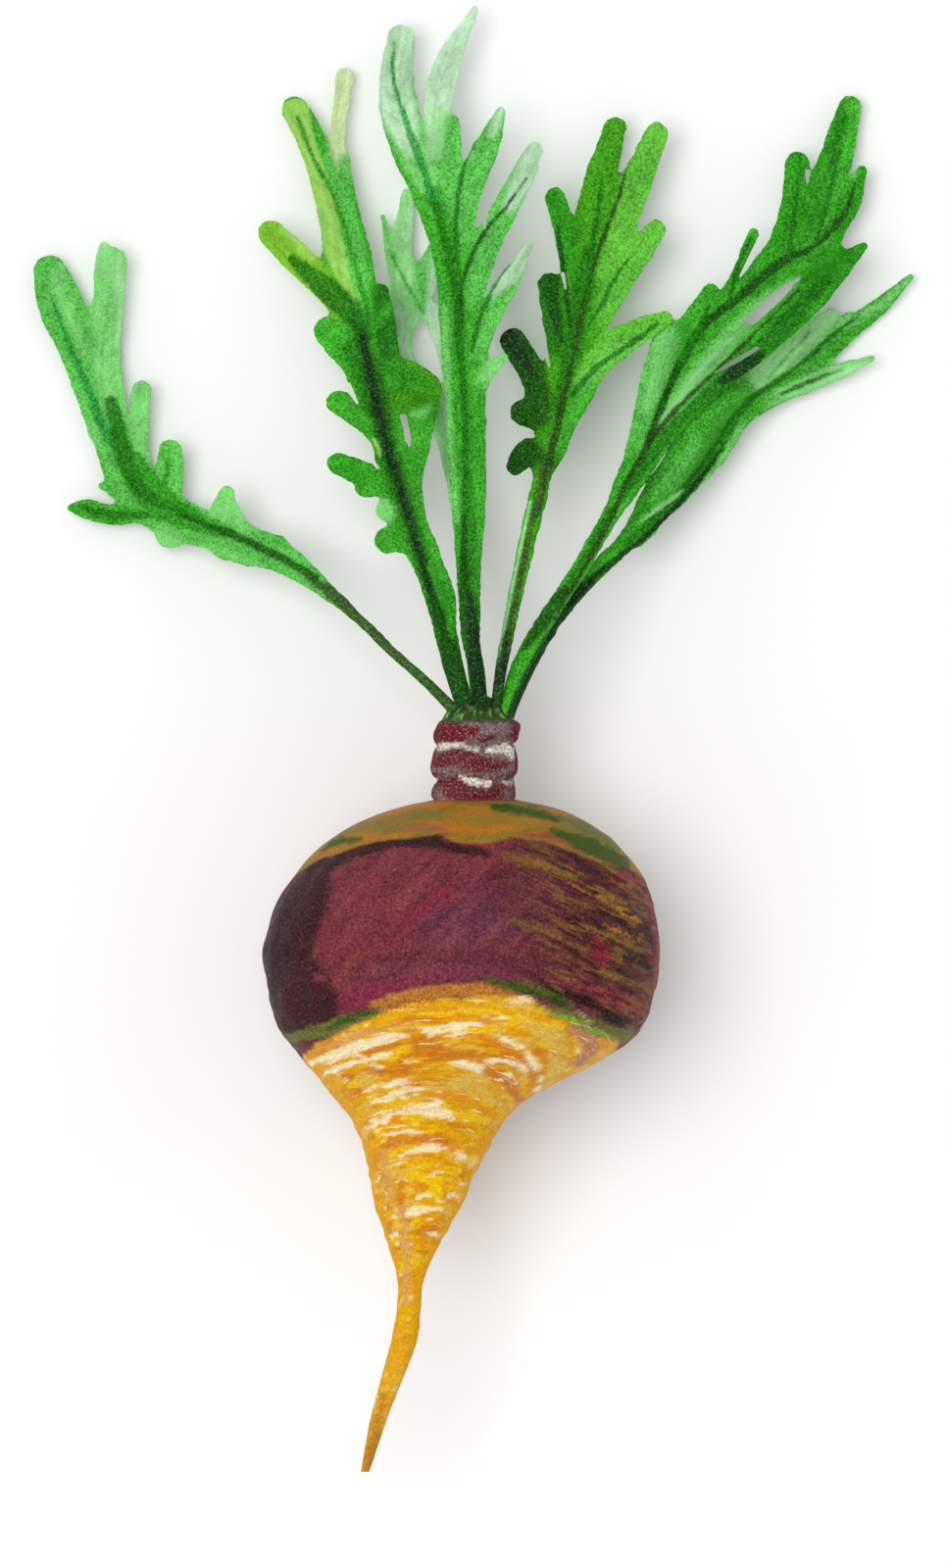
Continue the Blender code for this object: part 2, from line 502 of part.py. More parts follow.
def make_leaf(name, leaf):
    """A blade with an upper and a lower surface, joined by a narrow wall along its outline."""
    points, triangles = flat_triangles(leaf_outline(leaf), rib_points(leaf))
    used = sorted({i for t in triangles for i in t})
    order = {old: new for new, old in enumerate(used)}
    x = np.array([points[i].x for i in used])
    y = np.array([points[i].y for i in used])
    _, height, rib = leaf_fields(leaf, x, y)
    below = 0.5 * EDGE_THICKNESS + RIB_UNDER * RIB_THICKNESS * rib
    above = 0.5 * EDGE_THICKNESS + (1 - RIB_UNDER) * RIB_THICKNESS * rib
    lower = np.maximum(height - below, LOWEST)
    upper = np.maximum(height + above, lower + below + above)
    vertices = list(zip(x, y, upper)) + list(zip(x, y, lower))
    count = len(used)
    faces = []
    sides = {}
    for triangle in triangles:
        a, b, c = (order[i] for i in triangle)
        if (x[b] - x[a]) * (y[c] - y[a]) < (x[c] - x[a]) * (y[b] - y[a]):
            b, c = c, b
        faces += [(a, b, c), (a + count, c + count, b + count)]
        for start, end in ((a, b), (b, c), (c, a)):
            sides[start, end] = True
    for start, end in sides:
        if (end, start) not in sides:
            faces.append((start + count, end + count, end, start))
    return make_object(name, vertices, faces)


# ------------------------------------------------------------------ the whole plant

def main():
    clear_scene()
    make_root()
    for name, leaf in LEAVES.items():
        make_leaf(name, leaf)


main()
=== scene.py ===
"""Looks for a whole swede that lies on its side: a skin for its root and a fine blade for each leaf.

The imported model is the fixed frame. Each piece here stands for one CAD node and keeps its place
and size. Tables are in millimetres in that frame (+Y from the taproot to the leaf tips, +Z up),
and MM turns them into metres. Colours are written as sRGB, 0 to 255.
"""

import bpy
import bmesh
import numpy as np
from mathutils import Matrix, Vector


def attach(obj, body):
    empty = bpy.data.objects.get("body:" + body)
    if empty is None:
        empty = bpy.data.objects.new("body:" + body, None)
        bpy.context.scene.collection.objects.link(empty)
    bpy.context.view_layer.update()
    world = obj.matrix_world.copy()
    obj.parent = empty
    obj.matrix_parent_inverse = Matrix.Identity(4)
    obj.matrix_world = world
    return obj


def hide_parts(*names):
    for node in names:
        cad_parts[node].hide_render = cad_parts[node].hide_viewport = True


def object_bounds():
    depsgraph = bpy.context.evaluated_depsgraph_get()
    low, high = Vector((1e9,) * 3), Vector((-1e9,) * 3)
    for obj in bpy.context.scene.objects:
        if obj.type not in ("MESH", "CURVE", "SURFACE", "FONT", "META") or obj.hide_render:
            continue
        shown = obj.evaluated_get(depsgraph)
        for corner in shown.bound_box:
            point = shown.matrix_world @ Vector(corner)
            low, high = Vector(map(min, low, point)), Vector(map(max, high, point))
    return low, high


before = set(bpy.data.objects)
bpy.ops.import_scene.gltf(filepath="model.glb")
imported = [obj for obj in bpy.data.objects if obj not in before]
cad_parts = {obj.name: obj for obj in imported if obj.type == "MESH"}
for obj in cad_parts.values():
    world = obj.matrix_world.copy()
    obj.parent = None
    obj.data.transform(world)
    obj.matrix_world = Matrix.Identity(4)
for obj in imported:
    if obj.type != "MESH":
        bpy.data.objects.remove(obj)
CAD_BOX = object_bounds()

MM = 0.001


# ------------------------------------------------------------------ colours

PALETTE = {
    "black_green": (18, 40, 18), "pine": (22, 76, 8), "deep": (28, 112, 10), "forest": (46, 146, 22),
    "emerald": (34, 148, 56), "leaf": (60, 162, 38), "vivid": (66, 154, 20), "grass": (96, 184, 56),
    "fresh": (88, 184, 76), "light": (122, 204, 110), "pale": (154, 216, 146), "mint": (188, 222, 188),
    "lime": (122, 186, 40), "yellow_green": (156, 208, 96), "pale_yellow": (196, 208, 136),
    "dark_olive": (56, 74, 34), "grey_green": (196, 216, 160), "bark": (40, 66, 16),
    "ochre": (184, 118, 42), "orange": (228, 144, 18), "brown": (206, 118, 28), "gold": (226, 166, 6),
    "yellow": (242, 196, 20), "sand": (228, 188, 80), "cream": (254, 240, 196), "tan": (216, 160, 84),
    "black_plum": (34, 20, 24), "plum": (84, 36, 46), "maroon": (116, 48, 58), "rosy": (122, 52, 64),
    "magenta": (130, 42, 66), "violet": (102, 50, 72), "crimson": (150, 36, 50), "rose": (156, 62, 60),
    "crown_ochre": (160, 118, 42), "crown_olive": (128, 112, 40), "crown_orange": (192, 116, 30),
    "pinkish": (170, 92, 66), "stroke_olive": (132, 98, 38), "band_green": (40, 82, 18),
    "moss": (104, 112, 46), "band_brown": (84, 44, 36), "dusty_pink": (182, 122, 104),
    "mauve": (132, 110, 112), "scar": (110, 34, 44), "scar_cream": (240, 232, 218),
    "tail_brown": (180, 118, 46),
}
LIGHT_SHARE = 0.93       # the light adds a little to every colour, so each is laid on that much darker


def linear(colour):
    """An sRGB colour, or the name of one, as linear numbers from 0 to 1."""
    value = np.array(PALETTE[colour] if isinstance(colour, str) else colour, float) / 255.0
    return LIGHT_SHARE * np.where(value <= 0.04045, value / 12.92, ((value + 0.055) / 1.055) ** 2.4)


# ------------------------------------------------------------------ noise and curves

def lattice(ix, iy, iz, seed):
    """A repeatable number from -1 to 1 at each corner of a lattice."""
    n = ix * 374761393 + iy * 668265263 + iz * 1440662683 + seed * 1274126177
    n = (n ^ (n >> 13)) * 1103515245 & 0x7FFFFFFF
    n = (n ^ (n >> 16)) * 1103515245 & 0x7FFFFFFF
    return n / 0x3FFFFFFF - 1.0


def noise(x, y, z=0.0, seed=0):
    """Smooth noise from -1 to 1 with features about one unit across."""
    x, y, z = np.broadcast_arrays(x, y, z)
    ix, iy, iz = (np.floor(v).astype(np.int64) for v in (x, y, z))
    fx, fy, fz = x - ix, y - iy, z - iz
    fx, fy, fz = (f * f * (3 - 2 * f) for f in (fx, fy, fz))
    total = 0.0
    for dx in (0, 1):
        for dy in (0, 1):
            for dz in (0, 1):
                share = (fx if dx else 1 - fx) * (fy if dy else 1 - fy) * (fz if dz else 1 - fz)
                total = total + share * lattice(ix + dx, iy + dy, iz + dz, seed)
    return total


def smooth(value, low, high):
    """0 below low, 1 above high, and an easy step between them."""
    t = np.clip((value - low) / (high - low), 0.0, 1.0)
    return t * t * (3 - 2 * t)


def smooth_path(points, step):
    """Catmull-Rom curve through the points, read about every step."""
    points = np.array(points, float)
    padded = np.vstack([2 * points[0] - points[1], points, 2 * points[-1] - points[-2]])
    rows = []
    for before, start, end, after in zip(padded, padded[1:], padded[2:], padded[3:]):
        count = max(1, round(np.linalg.norm((end - start)[:2]) / step))
        t = np.arange(count)[:, None] / count
        rows.append(start + 0.5 * t * (end - before)
                    + t ** 2 * (before - 2.5 * start + 2 * end - 0.5 * after)
                    + t ** 3 * (1.5 * start - 0.5 * before - 1.5 * end + 0.5 * after))
    rows.append(points[-1:])
    return np.vstack(rows)


def lengths_along(points):
    """How far along a line each of its points lies."""
    return np.concatenate([[0], np.cumsum(np.hypot(*np.diff(points, axis=0).T))])


# ------------------------------------------------------------------ node graphs

class Graph:
    """A material's node tree, built one node at a time."""

    def __init__(self, name):
        self.material = bpy.data.materials.new(name)
        self.material.use_nodes = True
        self.tree = self.material.node_tree
        self.tree.nodes.clear()

    def node(self, kind, inputs=(), **settings):
        made = self.tree.nodes.new("ShaderNode" + kind)
        for key, value in settings.items():
            setattr(made, key, value)
        for key, value in dict(inputs).items():
            if value is not None:
                self.feed(made.inputs[key], value)
        return made

    def feed(self, socket, value):
        if isinstance(value, bpy.types.NodeSocket):
            self.tree.links.new(value, socket)
        elif isinstance(value, (tuple, list, np.ndarray)) and len(value) == 3 and socket.type == "RGBA":
            socket.default_value = (*value, 1.0)
        else:
            socket.default_value = value

    def attribute(self, name, output="Color"):
        return self.node("Attribute", attribute_name=name).outputs[output]

    def math(self, operation, a, b):
        return self.node("Math", {0: a, 1: b}, operation=operation).outputs[0]

    def mix(self, factor, a, b, blend="MIX"):
        return self.node("Mix", {0: factor, 6: a, 7: b}, data_type="RGBA", blend_type=blend).outputs[2]

    def grey(self, value):
        return self.node("CombineColor", {0: value, 1: value, 2: value}).outputs[0]

    def step(self, value, low, high, to_low=0.0, to_high=1.0):
        """value carried from low..high to to_low..to_high, and held at its ends."""
        return self.node("MapRange", {0: value, 1: low, 2: high, 3: to_low, 4: to_high},
                         interpolation_type="SMOOTHSTEP").outputs[0]

    def scaled(self, vector, scale):
        return self.node("Mapping", {"Vector": vector, "Scale": scale}).outputs[0]

    def noise(self, vector, scale, detail=2.0, roughness=0.5, distortion=0.0):
        return self.node("TexNoise", {"Vector": vector, "Scale": scale, "Detail": detail,
                                      "Roughness": roughness, "Distortion": distortion}).outputs[0]

    def bump(self, height, distance, strength, normal=None):
        return self.node("Bump", {"Height": height, "Distance": distance, "Strength": strength,
                                  "Normal": normal}).outputs[0]

    def surface(self, colour, roughness, specular, normal=None):
        return self.node("BsdfPrincipled", {"Base Color": colour, "Roughness": roughness, "Normal": normal,
                                            "Specular IOR Level": specular}).outputs[0]

    def finish(self, shader):
        out = self.node("OutputMaterial")
        self.tree.links.new(shader, out.inputs["Surface"])
        return self.material


# ------------------------------------------------------------------ objects

def add(name, data):
    """A new object in the scene from its mesh, lamp or camera."""
    thing = bpy.data.objects.new(name, data)
    bpy.context.scene.collection.objects.link(thing)
    return thing


def make_piece(name, vertices, faces, material, colours=None, values=None, vectors=None):
    """A piece from points in millimetres, with what its material reads stored at its points."""
    mesh = bpy.data.meshes.new(name)
    mesh.from_pydata((np.asarray(vertices) * MM).tolist(), [], faces)
    mesh.materials.append(material)
    for key, data in (colours or {}).items():
        rgba = np.hstack([data, np.ones((len(data), 1))]).astype(np.float32)
        mesh.attributes.new(key, "FLOAT_COLOR", "POINT").data.foreach_set("color", rgba.ravel())
    for key, data in (values or {}).items():
        mesh.attributes.new(key, "FLOAT", "POINT").data.foreach_set("value", data.astype(np.float32))
    for key, data in (vectors or {}).items():
        flat = data.astype(np.float32).ravel()
        mesh.attributes.new(key, "FLOAT_VECTOR", "POINT").data.foreach_set("vector", flat)
    mesh.shade_smooth()
    return add(name, mesh)


def stand_for(piece, node):
    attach(piece, "root")
    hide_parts(node)


# ------------------------------------------------------------------ strokes on a plan

STROKE_STEP = 1.0        # spacing of the points that a stroke is read at
THINNEST = 0.4           # a stroke is never read as narrower than this
BATCH = 20000            # plan points that are compared with a stroke at a time
FAR = 9.0                # how far beyond a mark's points its paint is worked out


def flat_stroke(points):
    """A stroke from points (x, y, width), with no height, rib or stalk."""
    path = smooth_path(points, STROKE_STEP)
    nothing = 0 * path[:, 0]
    return np.column_stack([path[:, :2], nothing, path[:, 2], nothing, nothing])


def trace(stroke, x, y):
    """For each plan point, where it lies beside a stroke: edge, gap, side, length along, and the rest."""
    half = 0.5 * np.maximum(stroke[:, 3], THINNEST)
    nearest = np.empty(len(x), int)
    for first in range(0, len(x), BATCH):
        part = slice(first, first + BATCH)
        gap = np.hypot(x[part, None] - stroke[:, 0], y[part, None] - stroke[:, 1])
        nearest[part] = np.argmin(gap - half, axis=1)
    tangent = np.gradient(stroke[:, :2], axis=0)
    tangent = tangent / np.hypot(*tangent.T)[:, None]
    length = lengths_along(stroke[:, :2])
    dx, dy = x - stroke[nearest, 0], y - stroke[nearest, 1]
    tx, ty = tangent[nearest].T
    reach = 0.6 * STROKE_STEP
    ahead = np.clip(dx * tx + dy * ty, -reach, reach)
    ahead = np.where(nearest == 0, np.maximum(ahead, 0), ahead)
    ahead = np.where(nearest == len(stroke) - 1, np.minimum(ahead, 0), ahead)
    side = tx * dy - ty * dx
    gap = np.hypot(dx - ahead * tx, dy - ahead * ty)
    at = length[nearest] + ahead
    z, width, rib, stalk = (np.interp(at, length, stroke[:, k]) for k in (2, 3, 4, 5))
    return {"edge": gap - 0.5 * np.maximum(width, THINNEST), "gap": gap, "side": side, "along": at,
            "left": length[-1] - at, "z": z, "half": 0.5 * width, "rib": rib, "stalk": stalk}


def brush(colour, marks, x, y, wobble, cover=1.0):
    """Brushed marks laid over a colour: (name, strength, softness, then points (x, y, width))."""
    for name, strength, soft, *points in marks:
        stroke = flat_stroke(points)
        low, high = stroke[:, :2].min(axis=0) - FAR, stroke[:, :2].max(axis=0) + FAR
        near = (x > low[0]) & (x < high[0]) & (y > low[1]) & (y < high[1])
        edge = trace(stroke, x[near], y[near])["edge"] + wobble[near]
        laid = strength * (1 - smooth(edge, -soft, soft * 0.4)) * np.broadcast_to(cover, x.shape)[near]
        colour[near] = colour[near] * (1 - laid[:, None]) + linear(name) * laid[:, None]
    return colour


def line(colour, *points):
    """A crisp brushed line, through points (x, y, width)."""
    return colour, 0.9, 0.45, *points


def patch(colour, *points):
    """A broad mark with a firm edge."""
    return colour, 0.9, 0.8, *points


def wash(colour, *points):
    """A broad mark that fades out softly."""
    return colour, 0.85, 2.0, *points


def hint(colour, *points):
    """A faint mark."""
    return colour, 0.55, 0.8, *points


# ------------------------------------------------------------------ root: shape

SPINE_HEIGHT = 54.2      # height of the root's axis above the rest spot
SPINE_TILT = -0.03       # rise of the axis for each mm towards the leaves
TAIL_START = -80.0       # beyond here the taproot bends down a little further
TAIL_SAG = 0.0013
ROOT_SIDES = 256
ROOT_STEP = 0.7          # spacing of the rings along the root's outline
OUTLINE_STEP = 0.2       # spacing of the points that the outline itself is read at

BULB_RADIUS = 55.3
BULB_MIDDLE = -3.0       # y of the bulb's widest place
SHOULDER = 46.0          # from there to where the round shoulder would close
SQUARENESS = 2.2         # of the shoulder's curve: 2 is an ellipse, more is squarer
SHOULDER_POINTS = 9
AXIS_LEAN = 1.5          # how late along the shoulder the axis moves over to the neck

# the crooked taproot and the cone above it: y along the plant, x of the axis, radius
TAPROOT = [
    (-145.6, -27, 1.2), (-130, -22.9, 2.4), (-110, -16.4, 3.6), (-100, -14.8, 3.4),
    (-90, -14.1, 4.2), (-70, -12.1, 12.4), (-50, -9.5, 19.6), (-40, -8, 28.6),
    (-30, -2.4, 42.2), (-20, -0.3, 51.4),
]

NECK_X = 4.3
NECK_RADIUS = 10.1       # under the scars, which stand out from it
NECK_BEND = 0.8          # the lower two rows of scars stand this far to the left
NECK_START = 43.2
NECK_END = 63.6
BASES = 8.6              # height of the cone of leaf bases, which the stalks grow out of
BASES_POWER = 1.6        # of its curve: 1 is a straight cone, 2 a round dome
BASES_POINTS = 40

# rows of old leaf scars on the neck: y of the middle, half height, how far they stand out
SCAR_ROWS = [(44.4, 4.1, 1.5), (53.0, 4.5, 2.2), (61.8, 3.3, 1.9)]
SCARS_BEGIN = (41.6, 43.0)
SCARS_END = (64.0, 65.6)
FLUTES = 9               # folds round the cone of leaf bases
FLUTE = 0.55             # and how deep they are


def spine_height(y):
    sag = TAIL_SAG * np.maximum(0.0, TAIL_START - y) ** 2
    return SPINE_HEIGHT + SPINE_TILT * y - sag


def quarter_turn(points, height, radius, power, smallest=0.0):
    """Rows of (how far up, how far out) on a rounded quarter, from its widest place to its top."""
    angle = np.linspace(0.0, np.arccos((smallest / radius) ** (power / 2)), points)
    return height * np.sin(angle) ** (2 / power), radius * np.cos(angle) ** (2 / power)


def root_rings():
    """Rows of (y, x, radius), evenly spaced along the taproot, the bulb, the neck and its top."""
    up, out = quarter_turn(SHOULDER_POINTS, SHOULDER, BULB_RADIUS, SQUARENESS, NECK_RADIUS)
    bulb = np.column_stack([BULB_MIDDLE + up, out, NECK_X * (up / SHOULDER) ** AXIS_LEAN])
    body = smooth_path(np.vstack([np.array(TAPROOT)[:, [0, 2, 1]], bulb]), OUTLINE_STEP)
    up, out = quarter_turn(BASES_POINTS, BASES, NECK_RADIUS, BASES_POWER)
    top = np.column_stack([NECK_END + up, out, 0 * up + NECK_X])
    outline = np.vstack([body, (NECK_START, NECK_RADIUS, NECK_X), top])
    length = lengths_along(outline[:, :2])
    at = np.linspace(0, length[-1] - ROOT_STEP, int(length[-1] / ROOT_STEP))
    return np.column_stack([np.interp(at, length, outline[:, k]) for k in (0, 2, 1)])


def scar_relief(c, s, y):
    """How far the rolls of old leaf scars stand out at a place on the neck, 0 in the grooves."""
    relief = np.zeros_like(y)
    for row, (middle, half, proud) in enumerate(SCAR_ROWS):
        wander = 1.9 * noise(1.3 * c, 1.3 * s, 5.0 * row, seed=5)
        wander = wander + 0.9 * noise(3.4 * c, 3.4 * s, 5.0 * row, seed=7)
        size = half * (1 + 0.24 * noise(2.2 * c, 2.2 * s, 3.0 + 4 * row, seed=6))
        across = np.clip(np.abs(y - middle - wander) / size, 0, 1)
        lump = 1 + 0.45 * noise(3.0 * c, 3.0 * s, 7.0 + y / 5, seed=8)
        relief = np.maximum(relief, proud * np.sqrt(1 - across ** 2.2) * lump)
    return relief


def root_surface():
    """Points of the root's skin and what its paint needs to know about each."""
    rings = root_rings()
    angle = np.tile(2 * np.pi * np.arange(ROOT_SIDES) / ROOT_SIDES, len(rings))
    y, x0, radius = (np.repeat(rings[:, k], ROOT_SIDES) for k in range(3))
    c, s = np.cos(angle), np.sin(angle)
    on_neck = smooth(y, *SCARS_BEGIN) * (1 - smooth(y, *SCARS_END))
    relief = scar_relief(c, s, y)
    size = np.clip(radius / 12.0, 0.12, 1.0)
    below = 1 - smooth(y, -28.0, 0.0)
    wrinkle = noise(2.6 * c, 2.6 * s, y / 1.9, seed=11) * (0.10 + 0.26 * below)
    dimple = noise(c * radius / 7, s * radius / 7, y / 7, seed=12)
    gnarl = noise(c * radius / 2.2, s * radius / 2.2, y / 2.6, seed=13)
    gnarl = gnarl * (0.10 + 0.14 * below + 0.25 * on_neck)
    leaf_bases = smooth(y, 64.2, 66.0)
    flutes = FLUTE * np.cos(FLUTES * angle + 1.5 * noise(1.5 * c, 1.5 * s, 0, seed=14))
    flutes = flutes * leaf_bases * size
    grown = radius + relief * on_neck + flutes
    grown = grown + size * ((1 - on_neck) * wrinkle + 0.4 * dimple + gnarl)
    axis = spine_height(y)
    x0 = x0 - NECK_BEND * on_neck * (1 - smooth(y, 55, 60))
    z = np.maximum(axis + grown * s, 0.0)
    return {"x": x0 + grown * c, "y": y, "z": z, "c": c, "s": s, "axis": axis, "radius": radius,
            "relief": relief, "neck": on_neck, "bases": leaf_bases, "angle": angle, "rings": len(rings)}


# ------------------------------------------------------------------ root: paint

LEAN = 0.29              # the colour zones are tipped: they reach further up the plant on top
ZONE_EDGE = 0.7          # half the width over which one zone turns into the next
STROKE_SLANT = 0.44      # turn of the olive strokes on the right of the band, in radians
GRAIN = 1200.0           # of the paint's noises, each as features per metre
BLOTCH = 420.0
STIPPLE = 1700.0
EVENNESS = 0.62          # how much of the grain is evened out away from the band and the neck

# edges of the purple shoulder: angle round the root in degrees (90 is the top), place along it
BAND_TOP = [(0, 19.5), (30, 17.5), (45, 17.5), (62, 21.0), (74, 21.5), (86, 18.8), (96, 19.4), (105, 22.6),
            (114, 22.5), (124, 21.5), (140, 21.5), (165, 20.5), (180, 21), (230, 19), (300, 21), (360, 19.5)]
BAND_FOOT = [(0, -30.0), (30, -31.0), (45, -32.0), (60, -30.5), (70, -27.6), (80, -28.0), (96, -29.0),
             (108, -30), (120, -32), (140, -33.5), (180, -31), (225, -29), (290, -32), (360, -30)]

# soft zones of colour all round: colour, angle, half width in degrees, place, half length, strength
BLUSHES_AND_SHADE = [
    ("rosy", 120, 24, 3, 18, 0.95), ("violet", 84, 26, -4, 11, 0.9), ("rosy", 88, 16, 6, 9, 0.4),
    # The black plum zone at 178 degrees darkens the left flank: painted shade over the skin's own dark
    # purple.
    ("plum", 60, 24, 2, 22, 0.6), ("black_plum", 178, 30, -6, 33, 0.97), ("plum", 260, 60, -6, 30, 0.7),
    ("band_brown", 28, 26, -6, 24, 0.85), ("black_plum", 40, 22, 0, 26, 0.45),
    ("crimson", 2, 10, -6, 20, 0.7), ("maroon", 320, 40, -4, 26, 0.8),
    ("violet", 90, 40, -20, 5, 0.45), ("magenta", 225, 26, 0, 16, 0.6),
]

# streaks all over the yellow part, one colour over the next: colour, strength, where its noise
# starts to show and shows fully, seed
GOLD_ARCS = [
    ("sand", 0.85, 0.0, 0.3, 35), ("orange", 0.8, 0.15, 0.4, 36), ("yellow", 0.85, 0.15, 0.4, 37),
    ("brown", 0.75, 0.3, 0.5, 38), ("cream", 0.8, 0.45, 0.62, 39),
]

# marks brushed along the upper side, as seen from above
CROWN_MARKS = [
    wash("crown_orange", (-27, 36.5, 2), (-14, 41, 4), (-4, 41.5, 4)),
    wash("crown_olive", (-34, 33, 3), (-25, 35.5, 4), (-14, 37, 3.4), (-6, 38, 3)),
    wash("crown_orange", (-9, 36, 2), (4, 33.5, 3), (16, 35, 3)),
    wash("crown_ochre", (-4, 38, 4), (8, 37, 5), (18, 36, 3)),
    patch("pinkish", (-17, 34.2, 1.6), (-10, 35.2, 2.2), (-4, 33.6, 1.6)),
    wash("rose", (18, 32.6, 2), (26, 31.8, 3), (34, 28.4, 3.4)),
    patch("band_green", (-39, 28.6, 2), (-34, 30.8, 3), (-28, 31.6, 1.6)),
    patch("band_green", (9, 40.4, 2.4), (17, 39.6, 3.4), (27, 37, 2.4)),
    patch("moss", (28, 37.2, 1.6), (36, 33.6, 2.6), (44, 28.6, 2.6)),
    patch("band_green", (25, 33.8, 1.8), (32, 31, 4), (39, 28, 5.4), (45.4, 25, 4)),
]
BAND_MARKS = [
    # The two faint crimson diagonal strokes are partly the skin's red streaks and partly painted highlight.
    hint("crimson", (-18, 7, 1.2), (-11, 12.4, 2.8), (-3, 19, 2.2)),
    hint("crimson", (-14, 6.6, 0.8), (-7, 12.2, 1.8), (0, 17.4, 1)),
    # Faint rosy touch beside the dark left flank: painted light, the lit side of that painted shade.
    hint("rosy", (-33, 20, 5), (-27, 12, 8), (-30, 3, 6)),
    wash("magenta", (-33, -13, 4), (-25, -12, 6), (-12, -7.6, 3.4), (0, -6, 2.4)),
    hint("plum", (-22, -2, 2), (-4, -1, 4), (14, -3, 5), (28, -5, 3)),
    # Black plum wash down the left flank: painted shade over the skin's own dark purple.
    wash("black_plum", (-38, 26, 5), (-43, 18, 14), (-48, 8, 18), (-51, -4, 20), (-46, -14, 24),
         (-40, -17.6, 12)),
    line("rosy", (-42.4, -4.6, 0.8), (-39.4, -7.4, 1.8), (-35, -4.4, 0.8)),
    patch("black_plum", (-37, 24, 3), (-30, 28, 4), (-21, 30.4, 4.4), (-10, 31, 4.4), (-2, 28.8, 3.4),
         (7, 27.6, 2.6)),
    patch("black_plum", (18, 28.6, 1.6), (25, 27.6, 2.6), (33, 25, 1.8), (40, 21, 1)),
    wash("stroke_olive", (12, 26.6, 2.6), (21, 25, 4), (31, 21.6, 2.6)),
    patch("stroke_olive", (24, 23.4, 1.6), (34, 19.8, 2.2), (43, 14.6, 2.2), (52, 9.4, 1.6)),
    line("ochre", (30, 19.4, 0.7), (40, 14.2, 1.1), (50, 8.2, 0.8)),
    patch("stroke_olive", (37, 25.6, 1.4), (45, 20.6, 2.2), (52, 14.2, 1.6)),
    patch("crimson", (40, 18.6, 1), (46, 22, 1.8), (50, 17, 1.4)),
    line("black_plum", (35, 13, 0.8), (44, 9, 1.7), (53, 3.8, 1.1)),
    hint("stroke_olive", (15, 8.6, 3), (22, 6.6, 4), (29, 3.6, 2.6)),
    wash("band_brown", (28, 12, 4), (31, 2, 6), (31, -6, 4)),
    hint("crimson", (37.6, 5, 2.4), (38.8, -0.4, 5), (39.4, -4.6, 2.4)),
    patch("stroke_olive", (35, 6.6, 1.2), (43, 3.4, 2), (49.4, 0.4, 1.1)),
    line("ochre", (40, 7.4, 0.7), (45, 5.2, 1.1), (49.6, 3, 0.6)),
    line("black_plum", (40, 2.2, 0.8), (47.6, -1.6, 1.6), (54, -5.4, 1)),
    patch("stroke_olive", (33, -4.6, 1.2), (43, -6.6, 1.9), (53, -10.8, 1.2)),
    wash("rose", (33, -9.6, 2), (42, -12.8, 3.6), (50.6, -16.6, 3)),
    patch("black_plum", (22, -8.8, 2.2), (34, -13.8, 4), (45, -20, 4)),
    patch("crimson", (50.4, 21, 1), (54, 8, 1.5), (54.6, -4, 1.5), (53.6, -12, 1)),
]
FOOT_MARKS = [
    patch("ochre", (-25, -14.6, 2.4), (-12, -11.6, 4.4), (2, -10.4, 4.4), (14, -10.4, 3)),
    patch("band_green", (5, -7.2, 1), (13, -9.2, 3.4), (23, -11.4, 4.4), (30, -15.4, 2.4)),
    patch("moss", (21, -14.8, 2), (31, -18.4, 4), (41, -22.6, 4.6), (51, -24.6, 3.4)),
    hint("black_plum", (34, -14.4, 1), (42, -18, 2.2), (50, -21, 1.6)),
    patch("moss", (-50, -24.4, 3), (-40, -22.4, 4.8), (-31, -19, 4), (-22, -16.4, 1.8)),
    line("band_green", (-38, -21.6, 0.8), (-32, -18.6, 1.8), (-24, -16, 1.4)),
    line("pale_yellow", (30.4, -14.6, 0.5), (33, -17, 1.3), (35.8, -19.8, 0.7)),
    line("lime", (24, -16.4, 0.7), (32, -19.6, 1.1), (41, -23.6, 0.7)),
    patch("dusty_pink", (31, -21.8, 2), (36, -26, 5), (33, -31, 3)),
]
